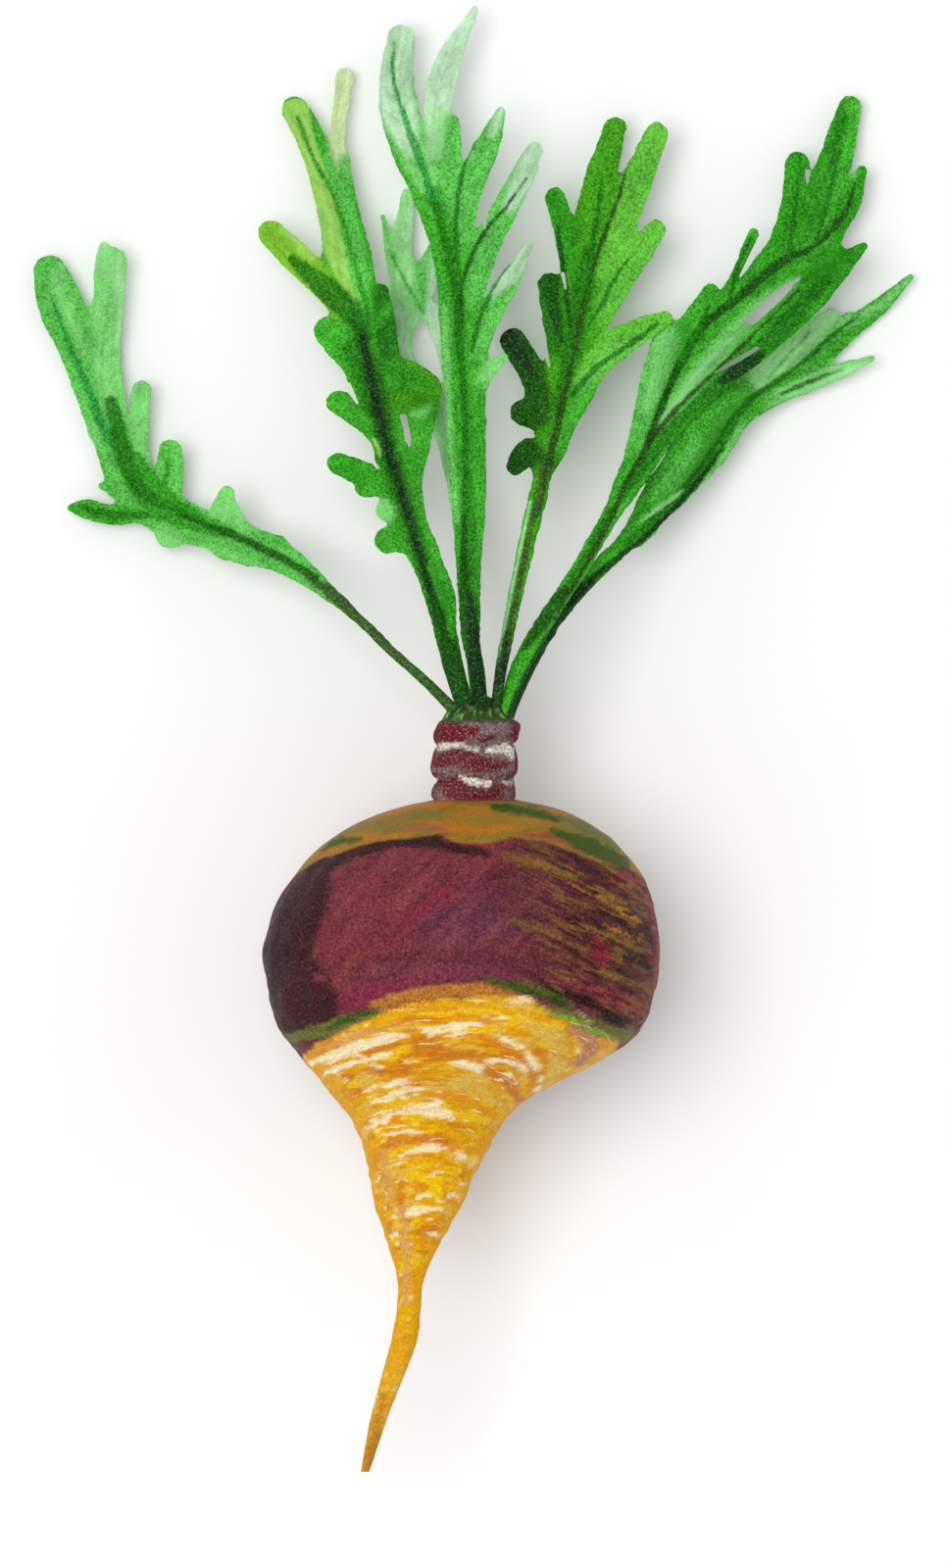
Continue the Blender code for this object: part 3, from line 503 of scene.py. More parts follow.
GOLD_MARKS = [
    wash("gold", (-27, -18.4, 3), (-14, -15.6, 4.6), (2, -15, 5.4), (17, -15.4, 4.4), (24, -20, 2)),
    line("yellow", (-12, -17.4, 1), (0, -16.6, 2), (12, -17.4, 1)),
    patch("tan", (-41, -27.6, 1.4), (-32, -24.4, 2.6), (-20, -20.6, 2.6), (-12, -20, 1.2)),
    patch("brown", (-17, -19, 1.2), (-10, -18.6, 2.2), (-3, -18.6, 1.2)),
    line("cream", (-42, -31, 1.8), (-33, -28, 3.6), (-22, -24.2, 2.6), (-15, -23, 0.9)),
    line("cream", (-38, -34, 1), (-30, -31, 2), (-20, -28.4, 1)),
    line("cream", (-7, -20.8, 0.8), (0, -19.8, 2), (8, -20, 1)),
    patch("sand", (18, -20, 3), (26, -24, 6), (27, -31, 6), (24, -37, 3)),
    line("cream", (11, -24, 0.9), (17.6, -27.4, 1.8), (21.4, -33.4, 1.8), (21, -39, 0.9)),
    patch("brown", (-13, -26.2, 2.4), (-6, -28.4, 4), (3, -28.4, 3)),
    patch("brown", (-26, -32.4, 2), (-21, -33.4, 3), (-15, -32.6, 1.6)),
    patch("orange", (-4, -26, 2), (6, -24.8, 2.8), (13, -27, 2)),
    line("cream", (-3, -30.8, 1.4), (1, -31.2, 3), (6, -32.8, 1.6)),
    patch("brown", (7, -33.4, 2.2), (13, -36.4, 3.4), (16, -41, 2.4)),
    wash("sand", (-10, -37.6, 3), (0, -37, 5), (9, -41.6, 3.4)),
    line("cream", (-27, -39, 0.9), (-18, -36.8, 1.7), (-8, -36.4, 0.9)),
    line("cream", (-25, -47.4, 1.1), (-16, -44.6, 2.4), (-7, -44.4, 4), (-2.4, -47, 2)),
    line("cream", (-17, -57, 0.9), (-9, -54.6, 2), (-2, -55.6, 0.9)),
    patch("brown", (-22, -54.6, 2.2), (-12, -52, 3), (-2, -52.6, 2.2)),
    wash("tan", (-22, -56, 3), (-21, -63, 4.4), (-19, -70, 3.4)),
    wash("brown", (-17, -64, 2.8), (-17, -71, 3.4), (-16, -76, 2)),
    patch("yellow", (-14, -62, 2), (-8, -64, 4.4), (-7, -69, 3.4)),
    patch("tan", (-17, -72, 2), (-15.4, -84, 3), (-15.4, -98, 1.8)),
    patch("gold", (-11, -86, 2), (-12.6, -98, 2.2), (-14, -110, 1.8)),
    line("cream", (-22.6, -115.6, 0.6), (-23.8, -121, 0.9), (-24.2, -127, 0.5)),
    wash("tail_brown", (-21.6, -124, 2), (-24, -134, 4), (-26.6, -145, 4)),
]
# On the neck, the mauve-grey patches at the sides of the scar rolls are painted shade.
NECK_MARKS = [
    patch("scar", (-5.6, 61.6, 4.4), (0, 61.8, 3.4), (3.6, 61, 2)),
    line("scar", (5, 59.4, 1.2), (7, 59.6, 1.8)),
    patch("mauve", (6.6, 62.2, 3.6), (12, 62.4, 4.6)),
    line("scar_cream", (-6.4, 57.2, 2), (-2, 57.6, 2.2), (1, 57, 1.5), (4.4, 56.2, 1.2)),
    line("scar_cream", (7.4, 56.2, 1.2), (10.4, 56.4, 2.6), (12.4, 56.6, 3.4), (14.2, 55, 2.2)),
    patch("scar", (-7, 53, 4), (-1, 54.4, 5.6), (6, 52.6, 4.6), (12, 52.4, 2.6)),
    patch("mauve", (-8, 50.6, 1.6), (3, 49.6, 1.4), (12, 49.8, 2.4), (14.6, 52.4, 1.6)),
    line("scar_cream", (-0.6, 49, 1), (3.2, 47.6, 2.5), (7.8, 47, 2)),
    line("scar_cream", (11.4, 47.4, 0.8), (14, 47.2, 1)),
    patch("scar", (-3.4, 45, 5), (2, 43.4, 4.4), (9, 43.4, 3.6)),
    patch("mauve", (-7, 44.4, 2), (-5.6, 42.4, 1.2)),
    patch("mauve", (12.6, 44.8, 2.6), (13, 43, 1.6)),
]


def layers(colour):
    """A function that lays a named colour over the points with a strength of its own at each."""
    def lay(name, strength):
        share = np.clip(strength, 0, 1)[:, None]
        colour[:] = colour * (1 - share) + linear(name) * share
    return lay


def root_paint(p):
    """Colour at every point of the root, and how strong each family of fine streaks is there."""
    x, y, z, c, s = p["x"], p["y"], p["z"], p["c"], p["s"]
    degrees = np.degrees(p["angle"]) % 360
    place = y - LEAN * (z - p["axis"])

    def around(waves, length, seed, shift=0.0):
        """Noise that runs round the root in so many waves."""
        return noise(waves * c + shift, waves * s, y / length, seed=seed)

    def tipped(size, length, seed):
        """Noise in bands that are tipped as the colour zones are."""
        return noise(x / size, z / size, place / length, seed=seed)

    def drawn(size, length, seed):
        """Noise drawn out along the plant."""
        return noise(x / size, y / length, z / size, seed=seed)

    ragged = 0.9 * around(3.2, 6, 21) + 0.7 * around(9, 1.6, 22)
    top = np.interp(degrees, *zip(*BAND_TOP))
    foot = np.interp(degrees, *zip(*BAND_FOOT))
    crown = smooth(place + ragged, top - ZONE_EDGE, top + ZONE_EDGE)
    gold = 1 - smooth(place + ragged, foot - ZONE_EDGE, foot + ZONE_EDGE)
    colour = np.tile(linear("maroon"), (len(y), 1))
    lay = layers(colour)
    for name, middle, spread, at, reach, strength in BLUSHES_AND_SHADE:
        turn = (degrees - middle + 180) % 360 - 180
        bend = 0.3 * around(2.5, 6, 26, at) + 0.2 * noise(8 * c, 8 * s, y / 2.4 + at, seed=27)
        away = np.hypot(turn / spread, (place - at) / reach) + bend
        lay(name, strength * (1 - smooth(away, 0.45, 1.15)))
    dabs = tipped(6, 1.7, 31)
    lay("violet", 0.2 * smooth(dabs, 0.0, 0.7))
    lay("plum", 0.35 * smooth(tipped(3.6, 0.9, 32), 0.1, 0.8))
    slant = noise((x - y) / 2.4, (x + y) / 15, z / 9, seed=49)
    lay("plum", 0.5 * smooth(slant, 0.0, 0.6))
    lay("pinkish", 0.16 * smooth(-slant, 0.1, 0.7))
    upper = smooth(s, 0.02, 0.30)
    wobble = 0.6 * noise(x / 2.6, y / 1.2, z / 6, seed=33) + 0.45 * noise(x / 0.9, y / 0.7, seed=34)
    brush(colour, BAND_MARKS, x, y, wobble, upper * (1 - gold))
    lay("crown_ochre", crown)
    lay("crown_olive", crown * smooth(around(2.5, 3, 23), -0.2, 0.5))
    lay("crown_orange", 0.7 * crown * smooth(dabs, -0.1, 0.5))
    brush(colour, CROWN_MARKS, x, y, wobble, upper)
    lay("gold", gold)
    rim = smooth(np.abs(c), 0.72, 0.94)
    for name, strength, low, high, seed in GOLD_ARCS:
        arcs = tipped(8, 1.5, seed) + 0.5 * tipped(3, 0.8, seed + 9)
        lay(name, gold * strength * smooth(arcs, low, high) * (1 - 0.6 * smooth(-y, 80, 100)))
    lay("gold", 0.8 * gold * rim)
    dry = 0.9 * tipped(4.5, 0.9, 46) + 0.3 * noise(x / 1.4, y / 0.8, seed=47)
    brush(colour, GOLD_MARKS, x, y, dry, upper)
    brush(colour, FOOT_MARKS, x, y, wobble, upper)
    lay("tail_brown", 0.7 * smooth(-y, 108, 132) * (1 - upper))
    neck = p["neck"]
    raised = smooth(p["relief"], 0.5, 1.4)
    # The neck is laid mauve-grey first; where it still shows beside the maroon tops of the scar rolls, it is
    # painted shade on their sides.
    lay("mauve", neck)
    lay("scar", neck * raised * smooth(around(1.4, 4, 29), -0.5, 0.1))
    lay("scar_cream", 0.9 * neck * (1 - smooth(p["relief"], 0.1, 0.7)) * (1 - upper))
    brush(colour, NECK_MARKS, x, y, 0.6 * wobble, upper * neck)
    # The cone of leaf bases is laid dark olive, with black-green streaks near its top: painted shade where
    # the stalks crowd together. The fresh and grey-green streaks are the stalks' own colours.
    lay("dark_olive", smooth(y, 63.6, 64.8))
    lay("fresh", 0.6 * p["bases"] * smooth(drawn(0.9, 3, 40), 0.1, 0.5))
    lay("grey_green", 0.35 * p["bases"] * smooth(drawn(0.8, 2, 48), 0.2, 0.6))
    lay("black_green", 0.85 * smooth(y, 66.0, 69.0) * smooth(drawn(1.5, 5, 45), -0.5, 0.2))
    skin = 1 - smooth(y, 41.4, 42.4)
    band = (1 - gold) * (1 - crown) * skin
    right = band * smooth(c, 0.15, 0.6) * (1 - smooth(np.abs(place + 2), 20, 30))
    slender = 0.25 + 0.75 * smooth(p["radius"], 5, 26)
    streaks = np.column_stack([gold * skin * slender * (1 - 0.6 * rim), right, band])
    wrap = np.column_stack([c, s, place / 10])
    return np.clip(colour, 0.0, 1.0), streaks, wrap


def root_material():
    g = Graph("root_skin")
    paint = g.attribute("paint")
    streaks = g.node("SeparateColor", {0: g.attribute("streaks")}).outputs
    wrap = g.attribute("wrap", "Vector")
    neck = g.attribute("neck", "Fac")
    place = g.node("TexCoord").outputs["Object"]
    turned = g.node("Mapping", {"Vector": place, "Rotation": (0.0, 0.0, STROKE_SLANT)}).outputs[0]
    slanted = g.scaled(turned, (60, 560, 120))
    long_streak = g.noise(g.scaled(wrap, (3.4, 3.4, 9.0)), 1.0, 4.0, 0.6, 0.25)
    fine_streak = g.noise(g.scaled(wrap, (7.0, 7.0, 17.0)), 1.0, 3.0, 0.6, 0.2)
    dry_streak = g.noise(g.scaled(wrap, (3.0, 3.0, 11.0)), 1.0, 4.0, 0.65, 0.3)
    slant_streak = g.noise(slanted, 1.0, 3.0, 0.6, 0.3)

    def over(colour, name, field, low, high, mask, strength):
        share = g.math("MULTIPLY", g.step(field, low, high, 0.0, strength), mask)
        return g.mix(share, colour, linear(name))

    colour = over(paint, "orange", fine_streak, 0.50, 0.60, streaks[0], 0.3)
    colour = over(colour, "brown", long_streak, 0.56, 0.64, streaks[0], 0.45)
    colour = over(colour, "yellow", dry_streak, 0.40, 0.34, streaks[0], 0.6)
    colour = over(colour, "cream", dry_streak, 0.60, 0.65, streaks[0], 0.75)
    colour = over(colour, "stroke_olive", slant_streak, 0.53, 0.60, streaks[1], 0.6)
    colour = over(colour, "black_plum", slant_streak, 0.47, 0.38, streaks[1], 0.75)
    colour = over(colour, "rosy", fine_streak, 0.52, 0.70, streaks[2], 0.3)
    grain = g.noise(place, GRAIN, 3.0, 0.8)
    blotch = g.noise(place, BLOTCH, 3.0, 0.6)
    shade = g.math("MULTIPLY", g.step(grain, 0.36, 0.64, 0.60, 1.44), g.step(blotch, 0.3, 0.7, 0.88, 1.12))
    smooth_paint = g.math("SUBTRACT", g.math("SUBTRACT", 1.0, streaks[2]), neck)
    even = g.math("MULTIPLY", smooth_paint, EVENNESS)
    shade = g.math("ADD", g.math("MULTIPLY", shade, g.math("SUBTRACT", 1.0, even)), even)
    colour = g.mix(1.0, colour, g.grey(shade), "MULTIPLY")
    stipple = g.noise(place, STIPPLE, 2.0, 0.6)
    colour = over(colour, "dusty_pink", stipple, 0.58, 0.66, streaks[2], 0.25)
    colour = over(colour, "black_plum", stipple, 0.47, 0.40, neck, 0.5)
    colour = over(colour, "scar_cream", stipple, 0.58, 0.66, neck, 0.25)
    rough = g.math("ADD", g.step(blotch, 0.3, 0.7, 0.42, 0.58), g.math("MULTIPLY", neck, 0.2))
    normal = g.bump(fine_streak, 0.0004, 0.6)
    normal = g.bump(grain, 0.00014, 0.5, normal)
    return g.finish(g.surface(colour, rough, 0.04, normal))


def make_root():
    p = root_surface()
    colour, streaks, wrap = root_paint(p)
    faces = []
    around = np.arange(ROOT_SIDES)
    for ring in range(p["rings"] - 1):
        a = ring * ROOT_SIDES + around
        b = ring * ROOT_SIDES + (around + 1) % ROOT_SIDES
        faces += np.column_stack([b, a, a + ROOT_SIDES, b + ROOT_SIDES]).tolist()
    last = (p["rings"] - 1) * ROOT_SIDES
    faces.append(around.tolist())
    faces.append((last + around[::-1]).tolist())
    piece = make_piece("root", np.column_stack([p["x"], p["y"], p["z"]]), faces, root_material(),
                       colours={"paint": colour, "streaks": streaks}, values={"neck": p["neck"]},
                       vectors={"wrap": wrap})
    stand_for(piece, "swede_root")


# ------------------------------------------------------------------ leaves: shape

GRID = 0.5               # spacing of a blade's mesh
MARGIN = 10.0            # room round the strokes on that grid
OUTSIDE = 9.0            # distance given to the grid's points that no stroke comes near
SHORTEST = 0.15          # the outline keeps this share of a grid square away from the square's corners
WEB = 0.9                # how far lobes and midrib flow into each other
GUTTER = 0.10            # rise of the blade for each mm away from its rib
LOWEST = 0.25            # leaves that touch the floor stop this far above it
BLADE = 0.5              # thickness of the blade
BLADE_EDGE = 0.12        # and of its very edge
EDGE_ROUND = 0.7         # how far in from the edge the blade grows to its thickness
SHAPE_BLEND = 2.0        # how softly heights and veins pass from one lobe into the next
TONE_BLEND = 0.8         # how softly their tones do
RIB_BELOW = 1.5          # how far the rib stands out underneath
RIB_ABOVE = 0.45         # and how deep its channel is on top
STALK_DEEPEST = 4.2      # no stalk is deeper than this from its top to its underside
RUFFLE = 0.9             # up and down of the lobes' edges
PUFF = 0.22              # rise of the skin between the side veins
CREASE = 0.12            # and its fall along them
FOOT_FLARE = 0.45        # how much wider a stalk is where it grows out of the neck
FOOT_LENGTH = 4.0
STALK_ENDS = 7.2         # a midrib narrower than this, near its foot, is a bare stalk
PAINT_GAIN = 1.18        # the skin's own shadows and what shines through cost the greens this much
VEIN_SPACING = 6.4
VEIN_LEAN = 1.15         # how steeply the side veins run towards the tip
LEAF_NET = 420.0         # of the skin's pattern and noises, each as features per metre
LEAF_GRAIN = 1500.0
LEAF_CLOUD = 300.0
LEAF_ROUGHNESS = 0.42
GLOW = 0.10              # share of the light that comes through the blade


def leaf_strokes(leaf):
    """Midrib and lobes as rows of (x, y, z, width, size of the rib, share of bare stalk)."""
    midrib = np.array(leaf["midrib"])
    foot = midrib[0] - (midrib[1] - midrib[0]) * [0.35, 0.35, 0.0, 0.0]
    midrib = smooth_path(np.vstack([foot, midrib]), STROKE_STEP)
    along = np.linspace(1.0, 0.15, len(midrib))
    wide = np.maximum.accumulate(midrib[:, 3])
    stalk = 1 - smooth(wide, STALK_ENDS - 2.2, STALK_ENDS)
    midrib[:, 3] *= 1 + FOOT_FLARE * np.exp(-(midrib[:, 1] - midrib[0, 1]) / FOOT_LENGTH)
    strokes = [np.column_stack([midrib, along, stalk])]
    for _, rise, *points in leaf["lobes"]:
        lobe = smooth_path(points, STROKE_STEP)
        start = np.argmin(np.hypot(*(midrib[:, :2] - lobe[0, :2]).T))
        t = np.linspace(0.0, 1.0, len(lobe))
        height = midrib[start, 2] + rise * t
        rib = 0.45 * along[start] * (1.0 - 0.8 * t)
        strokes.append(np.column_stack([lobe[:, :2], height, lobe[:, 2], rib, 0 * t]))
    return strokes


def slit_distance(leaf, x, y):
    """Distance to the nearest narrow gap between two lobes, negative inside it."""
    nearest = np.full(len(x), np.inf)
    for slit in leaf["slits"]:
        nearest = np.minimum(nearest, trace(flat_stroke(slit), x, y)["edge"])
    return nearest


def blade_distance(leaf, strokes, x, y):
    edges = np.array([trace(stroke, x, y)["edge"] for stroke in strokes])
    nearest = edges.min(axis=0)
    distance = nearest - WEB * np.log(np.exp(-(edges - nearest) / WEB).sum(axis=0))
    seed = leaf["seed"]
    ragged = 0.20 * noise(x / 2.6, y / 2.6, seed=seed) + 0.16 * noise(x / 0.9, y / 0.9, seed=seed + 1)
    distance = distance + ragged * smooth(y, 72.0, 90.0)
    return np.maximum(distance, -slit_distance(leaf, x, y))


def near_leaf(strokes, x, y):
    """Plan points that are worth looking at, from a coarse reading of the strokes."""
    keep = np.zeros(len(x), bool)
    for stroke in strokes:
        for row in np.vstack([stroke[::4], stroke[-1:]]):
            keep |= (x - row[0]) ** 2 + (y - row[1]) ** 2 < (0.5 * row[3] + 5.0) ** 2
    return keep


def blade_plan(leaf, strokes):
    """Points and faces of the blade seen from above: grid squares, cut to the leaf's outline."""
    spots = np.vstack([stroke[:, :2] for stroke in strokes])
    low, high = spots.min(axis=0) - MARGIN, spots.max(axis=0) + MARGIN
    xs, ys = np.arange(low[0], high[0], GRID), np.arange(low[1], high[1], GRID)
    grid_x, grid_y = (g.ravel() for g in np.meshgrid(xs, ys, indexing="ij"))
    field = np.full(len(grid_x), OUTSIDE)
    near = near_leaf(strokes, grid_x, grid_y)
    field[near] = blade_distance(leaf, strokes, grid_x[near], grid_y[near])
    field = np.where(np.abs(field) < 0.02, -0.02, field)
    rows = len(ys)
    points, faces, known = [], [], {}

    def corner(i):
        if i not in known:
            known[i] = len(points)
            points.append((grid_x[i], grid_y[i]))
        return known[i]

    def cut(i, j):
        i, j = min(i, j), max(i, j)
        if (i, j) not in known:
            t = np.clip(field[i] / (field[i] - field[j]), SHORTEST, 1 - SHORTEST)
            known[i, j] = len(points)
            points.append((grid_x[i] + t * (grid_x[j] - grid_x[i]), grid_y[i] + t * (grid_y[j] - grid_y[i])))
        return known[i, j]

    inside = (field < 0).reshape(len(xs), rows)
    touched = inside[:-1, :-1] | inside[1:, :-1] | inside[1:, 1:] | inside[:-1, 1:]
    for column, row in np.argwhere(touched):
        a = column * rows + row
        ring = (a, a + rows, a + rows + 1, a + 1)
        face = []
        for start, end in zip(ring, ring[1:] + ring[:1]):
            if field[start] < 0:
                face.append(corner(start))
            if (field[start] < 0) != (field[end] < 0):
                face.append(cut(start, end))
        faces.append(face)
    return np.array(points), faces


def shares(traces, softness):
    """How much each stroke counts at every plan point: the nearest counts most."""
    edges = np.array([t["edge"] for t in traces])
    weights = np.exp(-np.clip(edges - edges.min(axis=0), 0, 30) / softness)
    return weights / weights.sum(axis=0)


def blade_shape(traces):
    """Middle height, rib, side veins, streaks and stalk at every plan point, blended over the strokes."""
    height = vein = streak = rib = 0.0
    for k, (share, t) in enumerate(zip(shares(traces, SHAPE_BLEND), traces)):
        height = height + share * (t["z"] + GUTTER * np.minimum(t["gap"], 7.0))
        turn = np.where(t["side"] > 0, 0.5, 0.0) + 0.15 * noise(t["along"] / 9, t["side"] / 7, k, seed=41)
        phase = ((t["along"] - VEIN_LEAN * t["gap"]) / VEIN_SPACING + turn) % 1.0
        off = np.abs(phase - 0.5) * VEIN_SPACING * 0.66
        vein = vein + share * np.exp(-(off / 0.55) ** 2) * smooth(t["left"], 1.0, 8.0)
        streak = streak + share * (noise(t["along"] / 11, t["side"] / 0.9, k, seed=42)
                                   + 0.6 * noise(t["along"] / 5, t["side"] / 0.5, k, seed=43))
        rib = np.maximum(rib, t["rib"] * np.exp(-(t["gap"] / (0.5 + 1.1 * t["rib"])) ** 2))
    stalk = traces[0]["stalk"] * (1 - smooth(traces[0]["edge"], 0.0, 0.6))
    return height, rib, vein, streak, stalk


def blade_paint(leaf, x, y, traces, depth, vein, streak):
    """The leaf's greens: a tone for each stroke, then the brushed marks over them, some of which are painted
    shade.
    """
    tones = [leaf["tone"]] + [lobe[0] for lobe in leaf["lobes"]]
    weights = shares(traces, TONE_BLEND)
    colour = sum(share[:, None] * linear(tone) for share, tone in zip(weights, tones))
    wobble = 0.22 * noise(x / 2.2, y / 2.2, seed=51) + 0.14 * streak + 0.18 * noise(x / 0.8, y / 0.8, seed=54)
    colour = brush(colour, leaf["marks"], x, y, wobble)
    tint = 0.13 * streak + 0.11 * noise(x / 9, y / 9, seed=52) + 0.07 * noise(x / 3, y / 3, seed=53)
    dark = np.clip(0.12 * vein * smooth(depth, 0.5, 2.0), 0, 1)
    return np.clip(PAINT_GAIN * colour * (1 + tint - dark)[:, None], 0.0, 1.0)


def leaf_material(name):
    g = Graph(name)
    paint = g.attribute("paint")
    vein = g.attribute("vein", "Fac")
    place = g.node("TexCoord").outputs["Object"]
    cells = g.node("TexVoronoi", {"Vector": place, "Scale": LEAF_NET, "Randomness": 0.9},
                   feature="DISTANCE_TO_EDGE").outputs[0]
    net = g.step(cells, 0.0, 0.09, 1.0, 0.0)
    grain = g.noise(place, LEAF_GRAIN, 3.0, 0.75)
    cloud = g.noise(place, LEAF_CLOUD, 3.0, 0.55)
    shade = g.math("MULTIPLY", g.step(grain, 0.36, 0.64, 0.50, 1.56), g.step(cloud, 0.3, 0.7, 0.90, 1.10))
    shade = g.math("MULTIPLY", shade, g.step(net, 0.0, 1.0, 1.0, 0.90))
    grey = g.grey(shade)
    red = g.node("SeparateColor", {0: paint}).outputs[0]
    colour = g.mix(g.step(red, 0.04, 0.30, 1.0, 0.3), paint, grey, "MULTIPLY")
    colour = g.mix(g.step(grain, 0.54, 0.66, 0.0, 0.42), colour, linear("fresh"))
    rough = g.step(cloud, 0.3, 0.7, LEAF_ROUGHNESS, LEAF_ROUGHNESS + 0.14)
    rough = g.math("ADD", rough, g.math("MULTIPLY", vein, -0.05))
    normal = g.bump(net, 0.00018, 0.45)
    normal = g.bump(grain, 0.00010, 0.4, normal)
    skin = g.surface(colour, rough, 0.08, normal)
    glow = g.node("BsdfTranslucent", {"Color": colour, "Normal": normal}).outputs[0]
    return g.finish(g.node("MixShader", {0: GLOW, 1: skin, 2: glow}).outputs[0])


def dome(share):
    """Height of a quarter circle, 0 at its edge and 1 at its middle."""
    return np.sqrt(np.clip(1 - (1 - np.clip(share, 0, 1)) ** 2, 0.0, 1.0))


def both_sides(faces, count):
    """Faces of a closed blade: its upper side, its underside, and the rim between them."""
    solid = [tuple(face) for face in faces]
    sides = {}
    for face in faces:
        solid.append(tuple(i + count for i in reversed(face)))
        for start, end in zip(face, face[1:] + face[:1]):
            sides[start, end] = True
    for start, end in sides:
        if (end, start) not in sides:
            solid.append((start + count, end + count, end, start))
    return solid


def make_leaf(name, leaf):
    strokes = leaf_strokes(leaf)
    plan, faces = blade_plan(leaf, strokes)
    x, y = plan.T
    depth = np.maximum(-blade_distance(leaf, strokes, x, y), 0.0)
    traces = [trace(stroke, x, y) for stroke in strokes]
    height, rib, vein, streak, stalk = blade_shape(traces)
    half = traces[0]["half"]
    flat = 1 - stalk
    thick = BLADE_EDGE + (BLADE - BLADE_EDGE) * dome(depth / EDGE_ROUND)
    stem = 1.7 * half * dome(depth / np.maximum(half, 0.8))
    thick = np.maximum(thick, np.minimum(stem, STALK_DEEPEST) * stalk)
    off_edge = smooth(depth, 0.2, 1.6)
    below = 0.5 * thick + RIB_BELOW * rib * off_edge * flat
    above = 0.5 * thick - RIB_ABOVE * rib * off_edge * flat
    lobed = 1 - smooth(depth, 0.0, 6.0)
    middle = height + RUFFLE * lobed * noise(x / 8, y / 8, seed=leaf["seed"] + 3) * flat
    puff = PUFF * (1 - vein) + 0.12 * noise(x / 2.2, y / 2.2, seed=44)
    relief = puff * smooth(depth, 0.6, 2.4) * flat - CREASE * vein * off_edge * flat
    lower = middle - below + 0.7 * relief
    upper = middle + above + relief
    lift = np.maximum(LOWEST - lower, 0.0)
    lower, upper = lower + lift, upper + lift
    upper = np.maximum(upper, lower + 0.1)
    colour = blade_paint(leaf, x, y, traces, depth, vein, streak)
    points = np.vstack([np.column_stack([x, y, upper]), np.column_stack([x, y, lower])])
    underside = colour * 0.9 + 0.06
    piece = make_piece(name + "_blade", points, both_sides(faces, len(x)), leaf_material(name),
                       colours={"paint": np.vstack([colour, underside])},
                       values={"vein": np.concatenate([vein, vein])})
    drop_specks(piece)
    stand_for(piece, name)


def drop_specks(piece):
    """Leave out anything that the outline cuts off from the foot of the stalk."""
    shape = bmesh.new()
    shape.from_mesh(piece.data)
    foot = min(shape.verts, key=lambda point: point.co.y)
    reached, todo = {foot}, [foot]
    while todo:
        for edge in todo.pop().link_edges:
            for point in edge.verts:
                if point not in reached:
                    reached.add(point)
                    todo.append(point)
    specks = [point for point in shape.verts if point not in reached]
    bmesh.ops.delete(shape, geom=specks, context="VERTS")
    shape.to_mesh(piece.data)
    shape.free()


# ------------------------------------------------------------------ leaves: tables

